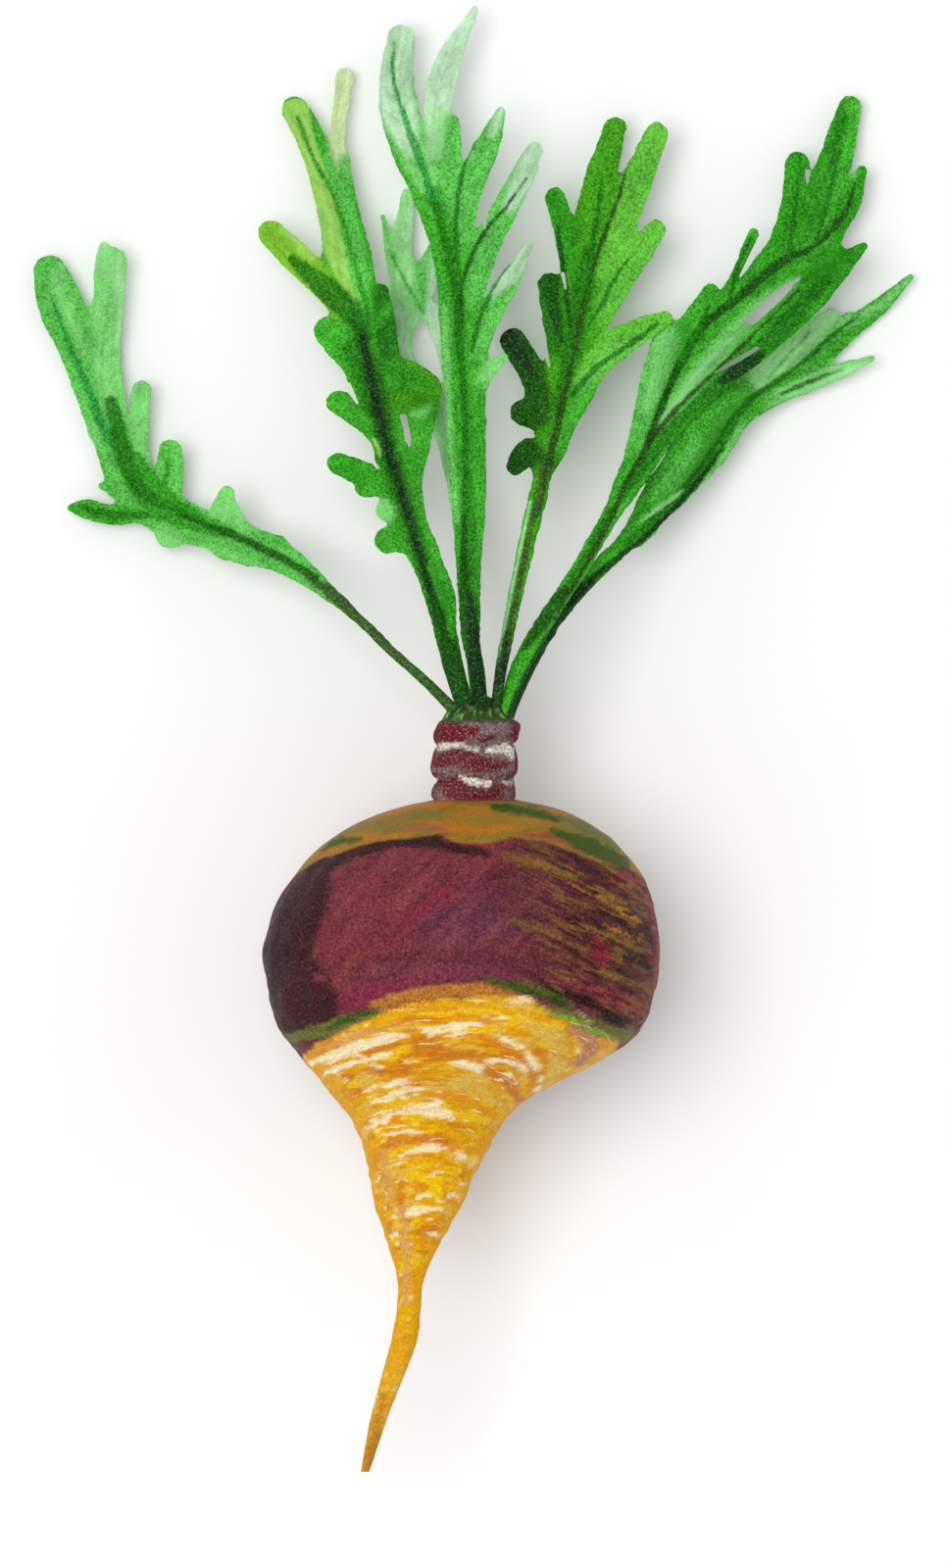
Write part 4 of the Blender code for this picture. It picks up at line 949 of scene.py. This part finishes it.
# Each leaf: its slot in the record, a seed, and its midrib as (x, y, z, width) from the foot of the
# stalk to the tip, with the midrib's tone. A lobe starts on the midrib, and has a tone, the rise of
# its tip and points (x, y, width). A slit is a narrow gap between lobes. Marks are brushed over it all.
LEAVES = {}
LEAVES["leaf_1"] = dict(
    slot="leaf_green", seed=101, tone="fresh",
    midrib=[
        (-1.6, 67, 52, 2.9), (-9.5, 75, 50.5, 2.7), (-20, 84.5, 47.5, 2.7), (-30, 94.2, 42.5, 3),
        (-40, 102.8, 35.5, 5.2), (-50, 110, 27.5, 8.4), (-60, 114.5, 20.5, 9.6), (-70, 117.6, 14.5, 10),
        (-80, 121.6, 9.5, 11.6), (-88, 127.2, 6, 13.6), (-94.2, 135, 4, 12.6), (-98.4, 146, 3, 11),
        (-103, 157, 2.6, 10.8), (-107.6, 169, 2.6, 11), (-112.4, 181, 3.6, 12.8),
        (-115.7, 190.8, 5.5, 9.4),
    ],
    lobes=[
        ("light", 6, (-99.4, 148, 11), (-101.2, 164, 11), (-99.6, 180, 8.8), (-98.2, 193.6, 8.4)),
        ("pale", 6, (-100, 190, 5), (-100.5, 198, 2.4)),
        ("light", 5, (-92.2, 138, 8), (-90.8, 148, 5.8), (-89.9, 157.6, 5.4)),
        ("fresh", 4, (-84, 127, 9), (-82, 134, 7.6), (-81.8, 140.2, 6.8)),
        ("light", 3, (-67.8, 120, 7), (-66.6, 125, 6.4), (-66, 128.2, 4.6)),
        ("light", 2, (-62, 117, 6), (-63.4, 122.4, 3.6)),
        ("leaf", 1, (-54.5, 112, 7), (-51.8, 114.2, 4.4)),
        ("leaf", -1.5, (-90, 124, 7), (-98, 122.6, 5.6), (-106, 124.2, 5.2), (-110, 124.4, 1.6)),
        ("fresh", 1, (-96, 130, 5), (-101.2, 130.6, 2)),
        ("light", -2, (-82, 119, 8), (-82.2, 116.8, 7.4)),
        ("fresh", -1, (-66, 114, 8), (-60, 111.6, 7)),
    ],
    slits=[
        ((-93.5, 151, 0.5), (-93.9, 155, 1), (-94.1, 160, 1.6)),
    ],
    marks=[
        wash("light", (-106, 168, 3), (-110, 178, 5), (-113, 186, 6), (-113, 191, 5)),
        wash("pale", (-96.6, 170, 3), (-96, 184, 4), (-97, 193, 5)),
        wash("light", (-86, 116.4, 4), (-75, 113.6, 2.4), (-64, 110.8, 3), (-56, 108.2, 2)),
        line("emerald", (-96.4, 139, 2.4), (-101, 148, 3.2), (-106, 160, 2.8), (-110.6, 171, 2.2),
            (-114.6, 182, 1)),
        patch("forest", (-98, 146, 3), (-93, 137, 8), (-86, 127, 10), (-77, 121.6, 7), (-66, 117.6, 4)),
        patch("deep", (-98.4, 154, 4.4), (-96.2, 145, 5.2), (-93.6, 136.6, 5), (-90, 130, 4.6),
            (-84, 125.6, 3.6), (-76, 122.4, 2)),
        line("pine", (-80, 122.6, 1.4), (-68, 118.4, 2.2), (-58, 114, 2.4), (-49, 109.4, 2.4),
            (-41, 104.6, 2.8)),
        line("deep", (-88, 122.4, 2), (-96, 122.4, 3), (-103, 123.6, 2.4), (-107, 125, 1)),
        line("forest", (-84.6, 127, 1.4), (-83, 133, 1.8), (-82.4, 138, 0.9)),
        patch("dark_olive", (0, 66, 7), (-10, 75.4, 6), (-24, 88.4, 5), (-35, 99, 4), (-43, 105, 2.4)),
    ],
)
LEAVES["leaf_2"] = dict(
    slot="leaf_dark_green", seed=111, tone="leaf",
    midrib=[
        (1.4, 67.4, 56, 4.4), (-1, 75, 56.5, 5.2), (-3.3, 84, 56, 6), (-5.4, 93, 54.5, 6.2),
        (-8.3, 103, 51.5, 6.6), (-11.8, 113, 47.5, 7.6), (-15.2, 123, 43.5, 9), (-18.2, 133, 39, 9),
        (-20.6, 143, 34.5, 9), (-23.2, 153, 30, 9.2), (-25.6, 163, 26, 10.2), (-28, 173, 22, 11.4),
        (-30.2, 183, 18.5, 12.6), (-31.8, 193, 15.5, 13.8), (-33.6, 203, 12.5, 12),
        (-36.2, 213, 10, 10.8), (-39.6, 222, 8, 9), (-43.6, 230.5, 6.5, 8), (-46.8, 236.2, 5.5, 7.6),
    ],
    lobes=[
        ("fresh", -2, (-34, 208, 8), (-33.9, 221.6, 5)),
        ("grey_green", -4, (-35.6, 218, 5), (-34.6, 232, 4.2), (-32.8, 245.6, 5)),
        ("lime", -4, (-31, 180, 9), (-38.5, 187.2, 8.2), (-46.5, 194.8, 8.4), (-53.3, 201.4, 7.6)),
        ("leaf", -4, (-28, 166, 11), (-33.5, 170.6, 10.4), (-37.4, 173.8, 8.2)),
        ("leaf", -3, (-22.5, 146, 7.6), (-29.2, 150.2, 6.6), (-34.6, 153.8, 6.6)),
        ("forest", -3, (-19, 131, 8), (-27.2, 133.6, 7), (-34.6, 136.6, 6.2)),
        ("leaf", -2, (-22, 131, 6), (-27.4, 129.4, 4.4)),
        ("light", -2, (-18, 124, 7), (-21, 123.6, 6)),
        ("leaf", -2, (-15, 115.6, 8), (-20.8, 115.2, 7.4)),
        ("vivid", 2, (-25, 160, 14), (-17, 158.6, 15), (-11.8, 157, 12.6)),
        ("deep", 2, (-22, 164, 10), (-22.2, 176, 7.6), (-22.6, 185, 4.2)),
        ("leaf", 1, (-14.6, 119, 7), (-13.2, 132, 4.4), (-11.6, 143, 6.4), (-10.8, 152, 8)),
        ("leaf", -1, (-11, 113, 8), (-6.6, 106, 4.6), (-4, 99.6, 4.4), (-4, 92, 3.6)),
    ],
    slits=[
        ((-15.4, 147.6, 0.8), (-15, 144, 1.8), (-14.6, 141.4, 0.6)),
        ((-32, 158.6, 2), (-29.2, 153.6, 0.7)),
        ((-26.6, 139.2, 1.6), (-23.4, 135.4, 0.7)),
    ],
    marks=[
        patch("yellow_green", (-28.4, 181, 3), (-33.6, 194, 8), (-37, 206, 8), (-41, 218, 7),
            (-45.4, 229, 8), (-46.6, 236, 8)),
        patch("fresh", (-27, 178, 4), (-28.6, 190, 6), (-31, 201, 6), (-34, 213, 4.4), (-38, 223, 3)),
        line("forest", (-25.7, 177, 2.2), (-28.4, 187, 2), (-32.6, 202, 1.8), (-36.8, 213.6, 1.6),
            (-42.4, 224.6, 1.5), (-46, 234.4, 1)),
        wash("yellow_green", (-42, 194.6, 3), (-46, 198.6, 3), (-50, 202.6, 3)),
        patch("deep", (-47.6, 194, 3), (-42, 189.4, 6), (-36.6, 184.4, 7.4), (-31, 179.4, 7),
            (-27, 173, 5)),
        patch("forest", (-24, 162, 9), (-17, 159.6, 10), (-12, 158, 7)),
        wash("vivid", (-20, 156, 4), (-14, 154.6, 5), (-10, 156.6, 4)),
        wash("light", (-14, 150.6, 2), (-11, 151, 3), (-8.6, 153, 2)),
        wash("deep", (-27.6, 172, 5), (-31, 168, 7), (-28, 161, 6), (-25, 152, 5)),
        wash("leaf", (-25, 175, 3), (-20, 181, 4)),
        wash("forest", (-29, 147, 3), (-24, 143, 5), (-21, 134, 6), (-18, 124, 4), (-18, 116, 3)),
        wash("pine", (-9, 103, 6), (-12.8, 115, 6), (-20.4, 140, 7), (-24.4, 158, 7), (-27.6, 172, 4)),
        # Black-green from the broad foot of the stalk up the midrib: at the foot it is painted shade where
        # the stalks crowd together, further up the midrib's own dark colour.
        patch("black_green", (0.4, 66, 8), (-2.4, 79, 6), (-5.4, 92, 4.4), (-9, 103, 3),
            (-12.8, 115, 2.4), (-16.4, 127, 2.6), (-20.4, 140, 2.8), (-23.4, 151, 3), (-25.8, 163, 3),
            (-28, 174, 1.6)),
        wash("pine", (-1, 74, 8), (-4, 86, 8), (-7.4, 98, 7)),
        line("leaf", (-2.6, 88, 1.6), (-5, 98, 2.6), (-8.6, 108, 3)),
        line("yellow_green", (-22.8, 138.6, 0.8), (-23.8, 141.6, 1.5), (-24.8, 144, 0.8)),
    ],
)
LEAVES["leaf_3"] = dict(
    slot="leaf_emerald", seed=121, tone="leaf",
    midrib=[
        (5.8, 66.9, 57.5, 3.2), (4.4, 78, 60, 4.2), (2.5, 88, 61, 5.2), (2.1, 100, 61, 6.2),
        (2, 112, 59.5, 7.6), (2, 125, 56.5, 9.4), (1.6, 138, 52.5, 10.6), (1.2, 150, 48.5, 11),
        (0.7, 162, 44, 11.8), (0, 175, 39, 12.2), (-1, 188, 34, 12), (-3.6, 200, 29.5, 11.4),
        (-8.2, 213, 24.5, 11.4), (-13.4, 224, 20.5, 11.4), (-17.3, 235, 16.5, 10.8),
        (-18.3, 246, 13.5, 9.2), (-17, 256.4, 11.5, 7.6),
    ],
    lobes=[
        ("fresh", -4, (-3.6, 204, 9), (-4.6, 219, 9.4), (-4.6, 231.2, 8.4)),
        ("fresh", -6, (-1.6, 199, 9), (1.4, 212, 8), (7.4, 226.4, 6.8), (11, 235.6, 2.6)),
        ("fresh", -6, (1.4, 181, 9), (6, 196, 8), (12, 207.6, 7.2), (17.4, 218, 6.6), (20.4, 224.6, 4.6)),
        ("fresh", -5, (2.4, 166, 7.4), (7.2, 177.2, 6.8), (12.8, 187, 6), (18.9, 197.6, 2.2)),
        ("light", -3, (4, 160, 6), (8.4, 163.4, 4.4), (12, 166.4, 1.8)),
        ("mint", -9, (-7.8, 226, 5), (-6.2, 240, 7.8), (-3.2, 251, 6.8), (3.8, 264.4, 1.8)),
    ],
    slits=[
        ((6.8, 206.6, 1.4), (6.4, 202.4, 0.6)),
        ((8, 188, 1.2), (7.4, 185.6, 0.6)),
    ],
    marks=[
        wash("light", (-10, 217, 9), (-14, 226, 10), (-17, 236, 10)),
        wash("mint", (-14, 225, 5), (-17.4, 234, 11), (-19, 244, 12), (-17.6, 258, 11)),
        wash("pale", (-8, 224, 6), (-6.6, 235, 6)),
        wash("mint", (13.4, 209, 5), (17.6, 217, 8), (20.6, 225, 7)),
        wash("mint", (8, 184, 3), (14, 190, 6), (19, 198, 6)),
        wash("mint", (8.6, 229, 3), (11, 236, 4)),
        wash("light", (-4.6, 180, 3), (-4.2, 162, 3), (-3, 140, 2.4), (-1, 120, 2.4)),
        wash("forest", (2, 130, 4), (0.6, 155, 5), (-1, 180, 6), (-3.6, 200, 5), (-7.6, 212, 3)),
        line("deep", (1, 105, 1.8), (1, 122, 2), (1.2, 140, 2), (0.4, 160, 2.4), (-2, 187, 2.6),
            (-5.6, 203, 2.6), (-9, 214.4, 2.2)),
        line("emerald", (-8, 211, 2.4), (-12.4, 224, 2.6), (-16.6, 235.4, 1.8), (-19.4, 247, 1.3),
            (-18.8, 255, 0.8)),
        line("deep", (-0.8, 172, 1.4), (-0.6, 186, 1.8), (-1.4, 197, 1.8), (-1.4, 207, 1.6),
            (0.4, 219, 1.5), (4.6, 230.4, 0.9)),
        line("pine", (0.4, 176, 1.4), (0, 185, 1.6), (2, 192.6, 1.7), (6, 201, 1.6), (12.4, 208.6, 1.3),
            (18, 216.4, 0.8)),
        line("deep", (2.8, 168, 1.8), (5.6, 178.6, 1.8), (10.4, 188.4, 1.3), (15, 194, 0.8)),
        wash("deep", (3, 92, 7), (2, 106, 7), (1.6, 120, 6), (1.4, 134, 3)),
        patch("pine", (5.6, 68, 6), (3, 84, 6), (1.4, 97, 4.4), (0.6, 110, 2.6), (0.6, 122, 1.4)),
        # Black-green at the foot of the stalk: painted shade where the stalks crowd together, fading into the
        # stalk's own dark green.
        patch("black_green", (6, 64, 8), (5, 74, 7), (3.6, 87, 4.6), (2.4, 99, 2.4)),
    ],
)
LEAVES["leaf_4"] = dict(
    slot="leaf_vivid_green", seed=131, tone="vivid",
    midrib=[
        (9.4, 66.8, 56, 2.6), (10.9, 78, 56.5, 3.2), (12.7, 88, 56, 3.6), (14.7, 98, 54.5, 4),
        (16.9, 108, 52, 4.4), (19.1, 118, 48.5, 4.8), (21.1, 126, 45, 5), (22.8, 134, 41.5, 5.2),
        (24.6, 142, 38, 7), (26, 150, 35, 9.4), (28.2, 159, 31.5, 11), (31, 168, 28, 12),
        (33.6, 177, 24.5, 13), (35.6, 186, 21.5, 13.4), (37, 195, 18.5, 13), (38, 205, 16, 12.2),
        (39.2, 216, 13.5, 9.8), (41.4, 225, 11, 7.4), (43, 231, 9.5, 6.4),
    ],
    lobes=[
        ("grass", -5, (39, 190, 11), (44, 204, 10), (49.6, 217, 8.4), (54.7, 229.6, 6.4)),
        ("grass", -4, (38, 180, 10), (45.2, 190.6, 8.6), (50.4, 196.8, 7.2), (54.3, 202.2, 5.8)),
        ("grass", -6, (30, 158, 10), (39.4, 167.4, 9.6), (49, 173.4, 7.6), (57, 177.6, 4.2)),
        ("leaf", -2, (26, 140, 5), (29.4, 149, 6.8), (33.4, 158, 8.4)),
        ("forest", -4, (32.8, 186, 7.4), (29.9, 198, 6.4), (26.2, 211.8, 5.4)),
        ("deep", -5, (29.4, 166, 9), (26.2, 179, 7.4), (24.7, 186.8, 6.6)),
        ("pine", -5, (24.8, 152, 9), (19.2, 163.2, 7.6), (14.3, 171.2, 7)),
        ("pine", -4, (25, 149, 9), (17.2, 151, 7.2)),
        ("pine", -5, (23.4, 138.6, 8), (18.2, 139.8, 7.2), (15, 136, 5)),
    ],
    slits=[
        ((45.8, 224, 1.8), (44.1, 218.8, 0.6)),
        ((28.4, 190, 1.2), (29.2, 185.6, 0.6)),
        ((23.6, 168, 1.4), (24.6, 163.6, 0.6)),
    ],
    marks=[
        wash("light", (33, 158, 3), (41, 166.4, 3), (50, 171.6, 3)),
        wash("deep", (27, 152, 5), (31, 168, 7), (33.6, 182, 8), (36, 196, 5)),
        line("bark", (21.4, 122, 1.5), (24, 135, 2.2), (26.6, 146, 2.3), (29, 157.6, 2.1),
            (31.6, 168, 1.8), (35.4, 186, 1.5), (38.4, 196.6, 1.4), (43, 208.6, 1.3), (46.4, 220, 0.8)),
        line("deep", (31, 156, 1.8), (37.4, 163.4, 2), (46.6, 169.8, 2), (55, 176, 1.1)),
        line("deep", (35, 184, 1.6), (36.6, 198, 1.8), (38.4, 208, 1.6), (39.4, 218, 0.9)),
        line("deep", (33, 172, 1.2), (38.4, 180, 1.7), (43.4, 189.4, 1.5), (47.6, 195, 0.8)),
        line("pine", (30.4, 176, 1.4), (28.6, 190, 1.8), (27, 204, 1)),
        patch("pine", (24.6, 188, 6), (25.8, 180, 4), (28, 171, 2)),
        patch("black_green", (13, 172.4, 6), (16.6, 167, 3.6), (21, 160, 1.6)),
        line("pale", (9.8, 78, 1), (13.8, 100, 1.3), (19.2, 126, 1.1)),
        patch("dark_olive", (11, 76, 3.4), (15, 98, 2.6), (20.6, 124, 2.4), (23, 136, 1.6)),
        # Black-green at the foot of the stalk: painted shade where the stalks crowd together, fading into the
        # stalk's own dark green.
        patch("black_green", (9.2, 64, 6), (11, 78, 4.4), (12.8, 89, 2)),
    ],
)
LEAVES["leaf_5"] = dict(
    slot="leaf_vivid_green", seed=141, tone="leaf",
    midrib=[
        (12.3, 66.9, 55.5, 3), (15, 76, 54.5, 4.8), (18.7, 84, 52.5, 5.4), (23.3, 92, 49.5, 5),
        (28.4, 100, 46, 4.6), (33.2, 107.4, 42, 4.6), (37.5, 114.8, 37.5, 4.6), (41.9, 122.4, 33.5, 5),
        (46.6, 131, 29.5, 6.6), (51.2, 140.6, 26, 9), (55.8, 150, 23, 11.6), (61, 160, 20, 14),
        (67, 169, 17.5, 14), (74, 177.4, 15.5, 12.4), (81, 185.6, 13.5, 9.6), (89, 193, 12, 11.4),
        (97, 200, 10.5, 14), (101.2, 209, 9, 12.4), (104, 219, 7.5, 9.8), (107, 229, 6, 8.4),
        (109.2, 237.2, 5, 6.2),
    ],
    lobes=[
        ("fresh", -2, (50.6, 141, 8), (53.6, 156, 8.4), (55.8, 165, 8.6), (58.2, 173.6, 7.6)),
        ("leaf", 0, (62, 166, 10), (66, 176, 9), (69.8, 185, 4.6)),
        ("leaf", 1, (73.6, 179, 5), (77.4, 190, 3.4), (81.9, 201.4, 3.2)),
        ("forest", 1, (91, 196, 10), (93.4, 209, 8), (94.2, 221.2, 6.4)),
        ("forest", -1, (102.6, 202, 9), (108.4, 210, 7.2), (112.6, 219.2, 2.8)),
        ("forest", -7, (46, 130, 6.4), (54, 142.4, 7), (62.2, 152.2, 7.4), (72, 161.6, 8.4),
         (82, 169.6, 9.4), (90.4, 176.8, 9.4), (98, 184.4, 9.6), (105, 191.4, 7.6), (112.6, 197.8, 2.4)),
        ("leaf", -5, (96, 196, 10), (103, 194, 9)),
    ],
    slits=[
        ((79, 176, 0.8), (86, 181.6, 3), (92.6, 186.8, 0.8)),
        ((71, 162.2, 0.6), (77, 165.6, 1.4), (83, 169.2, 1)),
        ((78.2, 189.4, 0.6), (80.8, 193.6, 1.6), (83.4, 198.8, 1.8)),
        ((97.2, 218.8, 1.6), (97, 215.6, 0.6)),
    ],
    marks=[
        wash("forest", (82, 187, 7), (92, 197, 10), (99, 208, 8), (103, 226, 6), (105, 237, 5)),
        wash("deep", (102.6, 216, 2), (105, 225, 4), (107.6, 234, 4)),
        wash("light", (110, 218, 2), (112.4, 230, 3), (113, 238, 3)),
        wash("light", (52, 152, 4), (55, 162, 7), (57.6, 171, 8)),
        wash("light", (55, 147, 4), (63, 157, 7), (73, 169, 7), (83, 180, 6), (93, 187.6, 4)),
        line("pale", (55, 147, 1), (62, 156, 2.4), (70, 166, 2), (78, 174, 1)),
        line("pine", (48, 131, 1.8), (51.8, 141, 2.2), (55.4, 151, 2.4), (60.4, 163, 2.4),
            (67.4, 175, 2.6), (78, 183.4, 2.8), (89, 193, 2.6), (99, 198, 2.2), (107.4, 207, 1.9),
            (110.6, 216, 1)),
        line("deep", (60.6, 165, 1.6), (66, 173, 2), (69.4, 181, 1)),
        line("deep", (75, 182, 1.6), (77.2, 191, 1.8), (81, 200, 1)),
        line("deep", (99.4, 199, 1.6), (101.6, 207, 1.9), (104.8, 219, 1.6), (106.6, 229, 0.9)),
        line("deep", (92, 196, 1.6), (93.6, 208, 1.8), (94.6, 218, 0.9)),
        patch("deep", (45, 128, 3), (51.6, 136.6, 3.6), (61, 148.4, 4), (73, 160, 4.4),
            (84.6, 169.4, 5.4), (94, 179, 5.6), (102, 188, 4)),
        line("bark", (45, 129, 1.6), (51.4, 140.6, 1.8), (58, 149.6, 1.8), (67, 158.6, 1.6),
            (80, 171, 1.4), (95, 186, 0.9)),
        patch("black_green", (73, 160, 2.4), (78.6, 163.6, 5), (84, 167.4, 2.6)),
        patch("deep", (28, 99, 3), (36, 112, 3.4), (42, 123, 3.4)),
        line("bark", (26, 93, 1.2), (33, 105, 1.6), (39, 116, 1.8), (45, 128, 1.4)),
        patch("forest", (12.2, 72, 3), (14.8, 81, 3.4), (19, 90.6, 2.6), (25, 99, 1.6)),
        patch("pine", (17.6, 85, 2.4), (22.8, 92, 4), (28.6, 101, 3.4)),
        # Black-green at the foot and right side of the stalk: painted shade where the stalks crowd together,
        # fading into the stalk's own dark green.
        patch("black_green", (14.4, 64, 6), (18, 75, 4), (24, 86.6, 3.6), (30, 96, 2)),
    ],
)
LEAVES["leaf_6"] = dict(
    slot="leaf_vivid_green", seed=151, tone="leaf",
    midrib=[
        (13.2, 67, 49.5, 3.2), (16.8, 76, 47.5, 4.2), (21.9, 86, 43.5, 4.4), (28, 95.6, 38.5, 4.6),
        (34.4, 103.2, 33.5, 5), (41.2, 109.8, 29, 5.2), (47.9, 116.6, 24, 5), (55.2, 123.2, 19.5, 5.2),
        (62.4, 129.8, 15.5, 5.6), (68, 136.6, 12, 7), (72.6, 144.2, 9, 8), (77.2, 151, 6.5, 8.4),
        (84.8, 156.6, 4.8, 8.2), (93.6, 162.6, 3.6, 7.4), (102, 169, 2.8, 7), (109, 174.8, 2.6, 6),
        (117.4, 181.2, 3, 4.8), (126, 189.2, 4, 1.8),
    ],
    lobes=[
        ("leaf", -1, (48.6, 118, 5), (55.2, 127.4, 10), (61.4, 137, 12.6), (66.8, 145.4, 13),
         (74.6, 152.6, 12), (82, 158.6, 9)),
        ("light", 2, (86, 155.6, 5.4), (96, 159.2, 5.2), (106, 162.8, 4.2), (115, 166.4, 1.6)),
        ("pale", 0.5, (83, 159, 9), (93, 169, 9), (103.6, 178.6, 3.8)),
        ("light", 0.5, (95, 166, 8), (108.4, 177.4, 3)),
        ("leaf", 0, (71.2, 139.8, 6), (76.4, 146.8, 3)),
        ("light", -1, (49, 116, 5), (53, 118.2, 3)),
    ],
    slits=[
        ((52.8, 133.6, 0.6), (55.2, 137.2, 1.3), (57.6, 140.6, 0.6)),
    ],
    marks=[
        wash("light", (65, 128, 3), (72, 137, 3.6), (79, 147, 3)),
        wash("fresh", (54, 127, 3), (60, 134, 5), (66, 142, 4)),
        wash("pale", (84, 161, 6), (93, 169.4, 7), (102, 178, 6)),
        wash("pale", (90, 157, 3), (102, 161, 5), (113, 165.6, 4)),
        wash("light", (108, 176, 4), (118, 182, 4), (126, 189, 3)),
        patch("deep", (47, 114, 4.2), (57, 123, 4.6), (65.4, 132, 4.2), (72, 141, 4), (76.4, 149, 3),
            (82, 155.8, 2)),
        # Black-green down most of the stalk: painted shadow.
        line("black_green", (30, 97.6, 3), (38, 105.6, 2.6), (47, 112.4, 2.2), (57, 121.4, 1.8),
            (66, 131.4, 1.6), (73, 141, 1)),
        line("deep", (81, 155, 2.2), (90, 161, 1.9), (97, 166.4, 1.7), (104, 173, 1.5), (112, 178.6, 1)),
        line("deep", (90, 156.6, 1.2), (98, 160, 1.6), (107, 163.2, 0.9)),
        line("fresh", (86, 161, 0.9), (92, 167.6, 1.1), (98, 174, 0.8)),
        line("pale", (50.4, 120.6, 0.9), (56, 124.8, 1.6), (61.8, 129.2, 1)),
        # Black-green at the foot of the stalk: painted shade where the stalks crowd together.
        patch("black_green", (13.4, 64, 6), (18.6, 76.6, 5), (27, 91.6, 4.6), (36, 103, 3)),
    ],
)
LEAVES["leaf_7"] = dict(
    slot="leaf_pale", seed=161, tone="pale",
    midrib=[
        (4.6, 67, 49.5, 3.2), (3.2, 80, 46.5, 3.2), (1.6, 95, 42, 3.4), (0.2, 110, 36.5, 3.4),
        (-1.3, 125, 30, 3.8), (-3.4, 138, 23, 4.4), (-6.4, 149, 17.5, 5.4), (-11, 158, 14, 5.8),
        (-15, 164, 12, 5.6), (-17, 169, 10.6, 5.8), (-16.8, 175, 9.2, 7.4), (-15.8, 181.5, 7.7, 9.4),
        (-16.4, 189, 6.2, 8.4), (-17, 196, 5, 6), (-16.1, 204, 4.1, 5.2), (-15.2, 212.6, 3.4, 3.4),
    ],
    lobes=[
        ("light", 0, (-18, 192, 5), (-20.4, 199, 2.8), (-22.2, 206.2, 1.2)),
        ("light", 0.5, (-16, 180, 6), (-11.4, 185.6, 7.2), (-9.8, 191.6, 5.6), (-8.4, 197.4, 2.6)),
        ("mint", -9.5, (-4.6, 149, 3), (-4.2, 160, 2.4), (-5.2, 168, 3), (-7.2, 174, 3.6),
         (-8.6, 180, 4.6)),
    ],
    slits=[],
    marks=[
        wash("fresh", (-13, 196, 3), (-11, 186, 4), (-10, 176, 3)),
        wash("mint", (-18, 180, 3), (-16, 168, 5), (-14, 160, 4)),
        wash("mint", (-15, 200, 2), (-14, 208, 3)),
        wash("mint", (-9.6, 178, 3), (-8, 186, 4), (-7.6, 195, 3)),
        line("leaf", (-20.4, 197, 0.8), (-16, 188.4, 1.5), (-11, 179.6, 1.4)),
        patch("deep", (4.6, 66, 6), (3, 84, 5), (1, 104, 4)),
    ],
)


# ------------------------------------------------------------------ floor, light and camera

FLOOR_HALF = 4.0         # this section is in metres
FLOOR_GAP = 0.0004       # between the floor and the plant's lowest point
FLOOR_SHADE = (0.925, 0.94)
LIGHT_TRAVEL = Vector((0.24, -0.07, -1.0))
LIGHT_POWER = 1.5
LIGHT_ANGLE = 0.6        # the sun's spread in radians, which makes soft shadows
SURROUND = 0.65          # strength of the white surround
SENSOR = 36.0            # this and the lens are in millimetres
LENS = 800.0
CLIP_END = 30.0
VIEW_HEIGHT = 0.440      # height of the picture where it is in focus
FOCUS_HEIGHT = 0.024     # height above the floor at which VIEW_HEIGHT holds
VIEW_SHIFT = (0.0001, -0.0130)


def make_floor():
    mesh = bpy.data.meshes.new("floor")
    low = CAD_BOX[0][2] - FLOOR_GAP
    corners = [(-FLOOR_HALF, -FLOOR_HALF, low), (FLOOR_HALF, -FLOOR_HALF, low),
               (FLOOR_HALF, FLOOR_HALF, low), (-FLOOR_HALF, FLOOR_HALF, low)]
    mesh.from_pydata(corners, [], [(0, 1, 2, 3)])
    g = Graph("floor")
    place = g.node("TexCoord").outputs["Object"]
    shade = g.step(g.noise(place, 6.0), 0.3, 0.7, *FLOOR_SHADE)
    mesh.materials.append(g.finish(g.surface(g.grey(shade), 0.85, 0.15)))
    add("floor", mesh)


def make_light():
    """One soft key a little to the upper left of straight overhead, and an even white surround."""
    lamp = bpy.data.lights.new("key", "SUN")
    lamp.energy = LIGHT_POWER
    lamp.angle = LIGHT_ANGLE
    add("key", lamp).rotation_euler = LIGHT_TRAVEL.to_track_quat("-Z", "Y").to_euler()
    world = bpy.data.worlds.new("surround")
    world.use_nodes = True
    background = world.node_tree.nodes["Background"]
    background.inputs["Color"].default_value = (1.0, 1.0, 1.0, 1.0)
    background.inputs["Strength"].default_value = SURROUND
    bpy.context.scene.world = world


def make_camera():
    """Straight above, with a long lens; the top of the picture points to the leaf tips."""
    lens = bpy.data.cameras.new("camera")
    lens.sensor_width = SENSOR
    lens.lens = LENS
    lens.clip_end = CLIP_END
    low, high = CAD_BOX
    centre = [0.5 * (low[k] + high[k]) + VIEW_SHIFT[k] for k in (0, 1)]
    camera = add("camera", lens)
    camera.location = (*centre, FOCUS_HEIGHT + VIEW_HEIGHT * LENS / SENSOR)
    bpy.context.scene.camera = camera


def main():
    make_root()
    for name, leaf in LEAVES.items():
        make_leaf(name, leaf)
    make_floor()
    make_light()
    make_camera()
    bpy.context.scene.view_settings.view_transform = "Standard"


main()
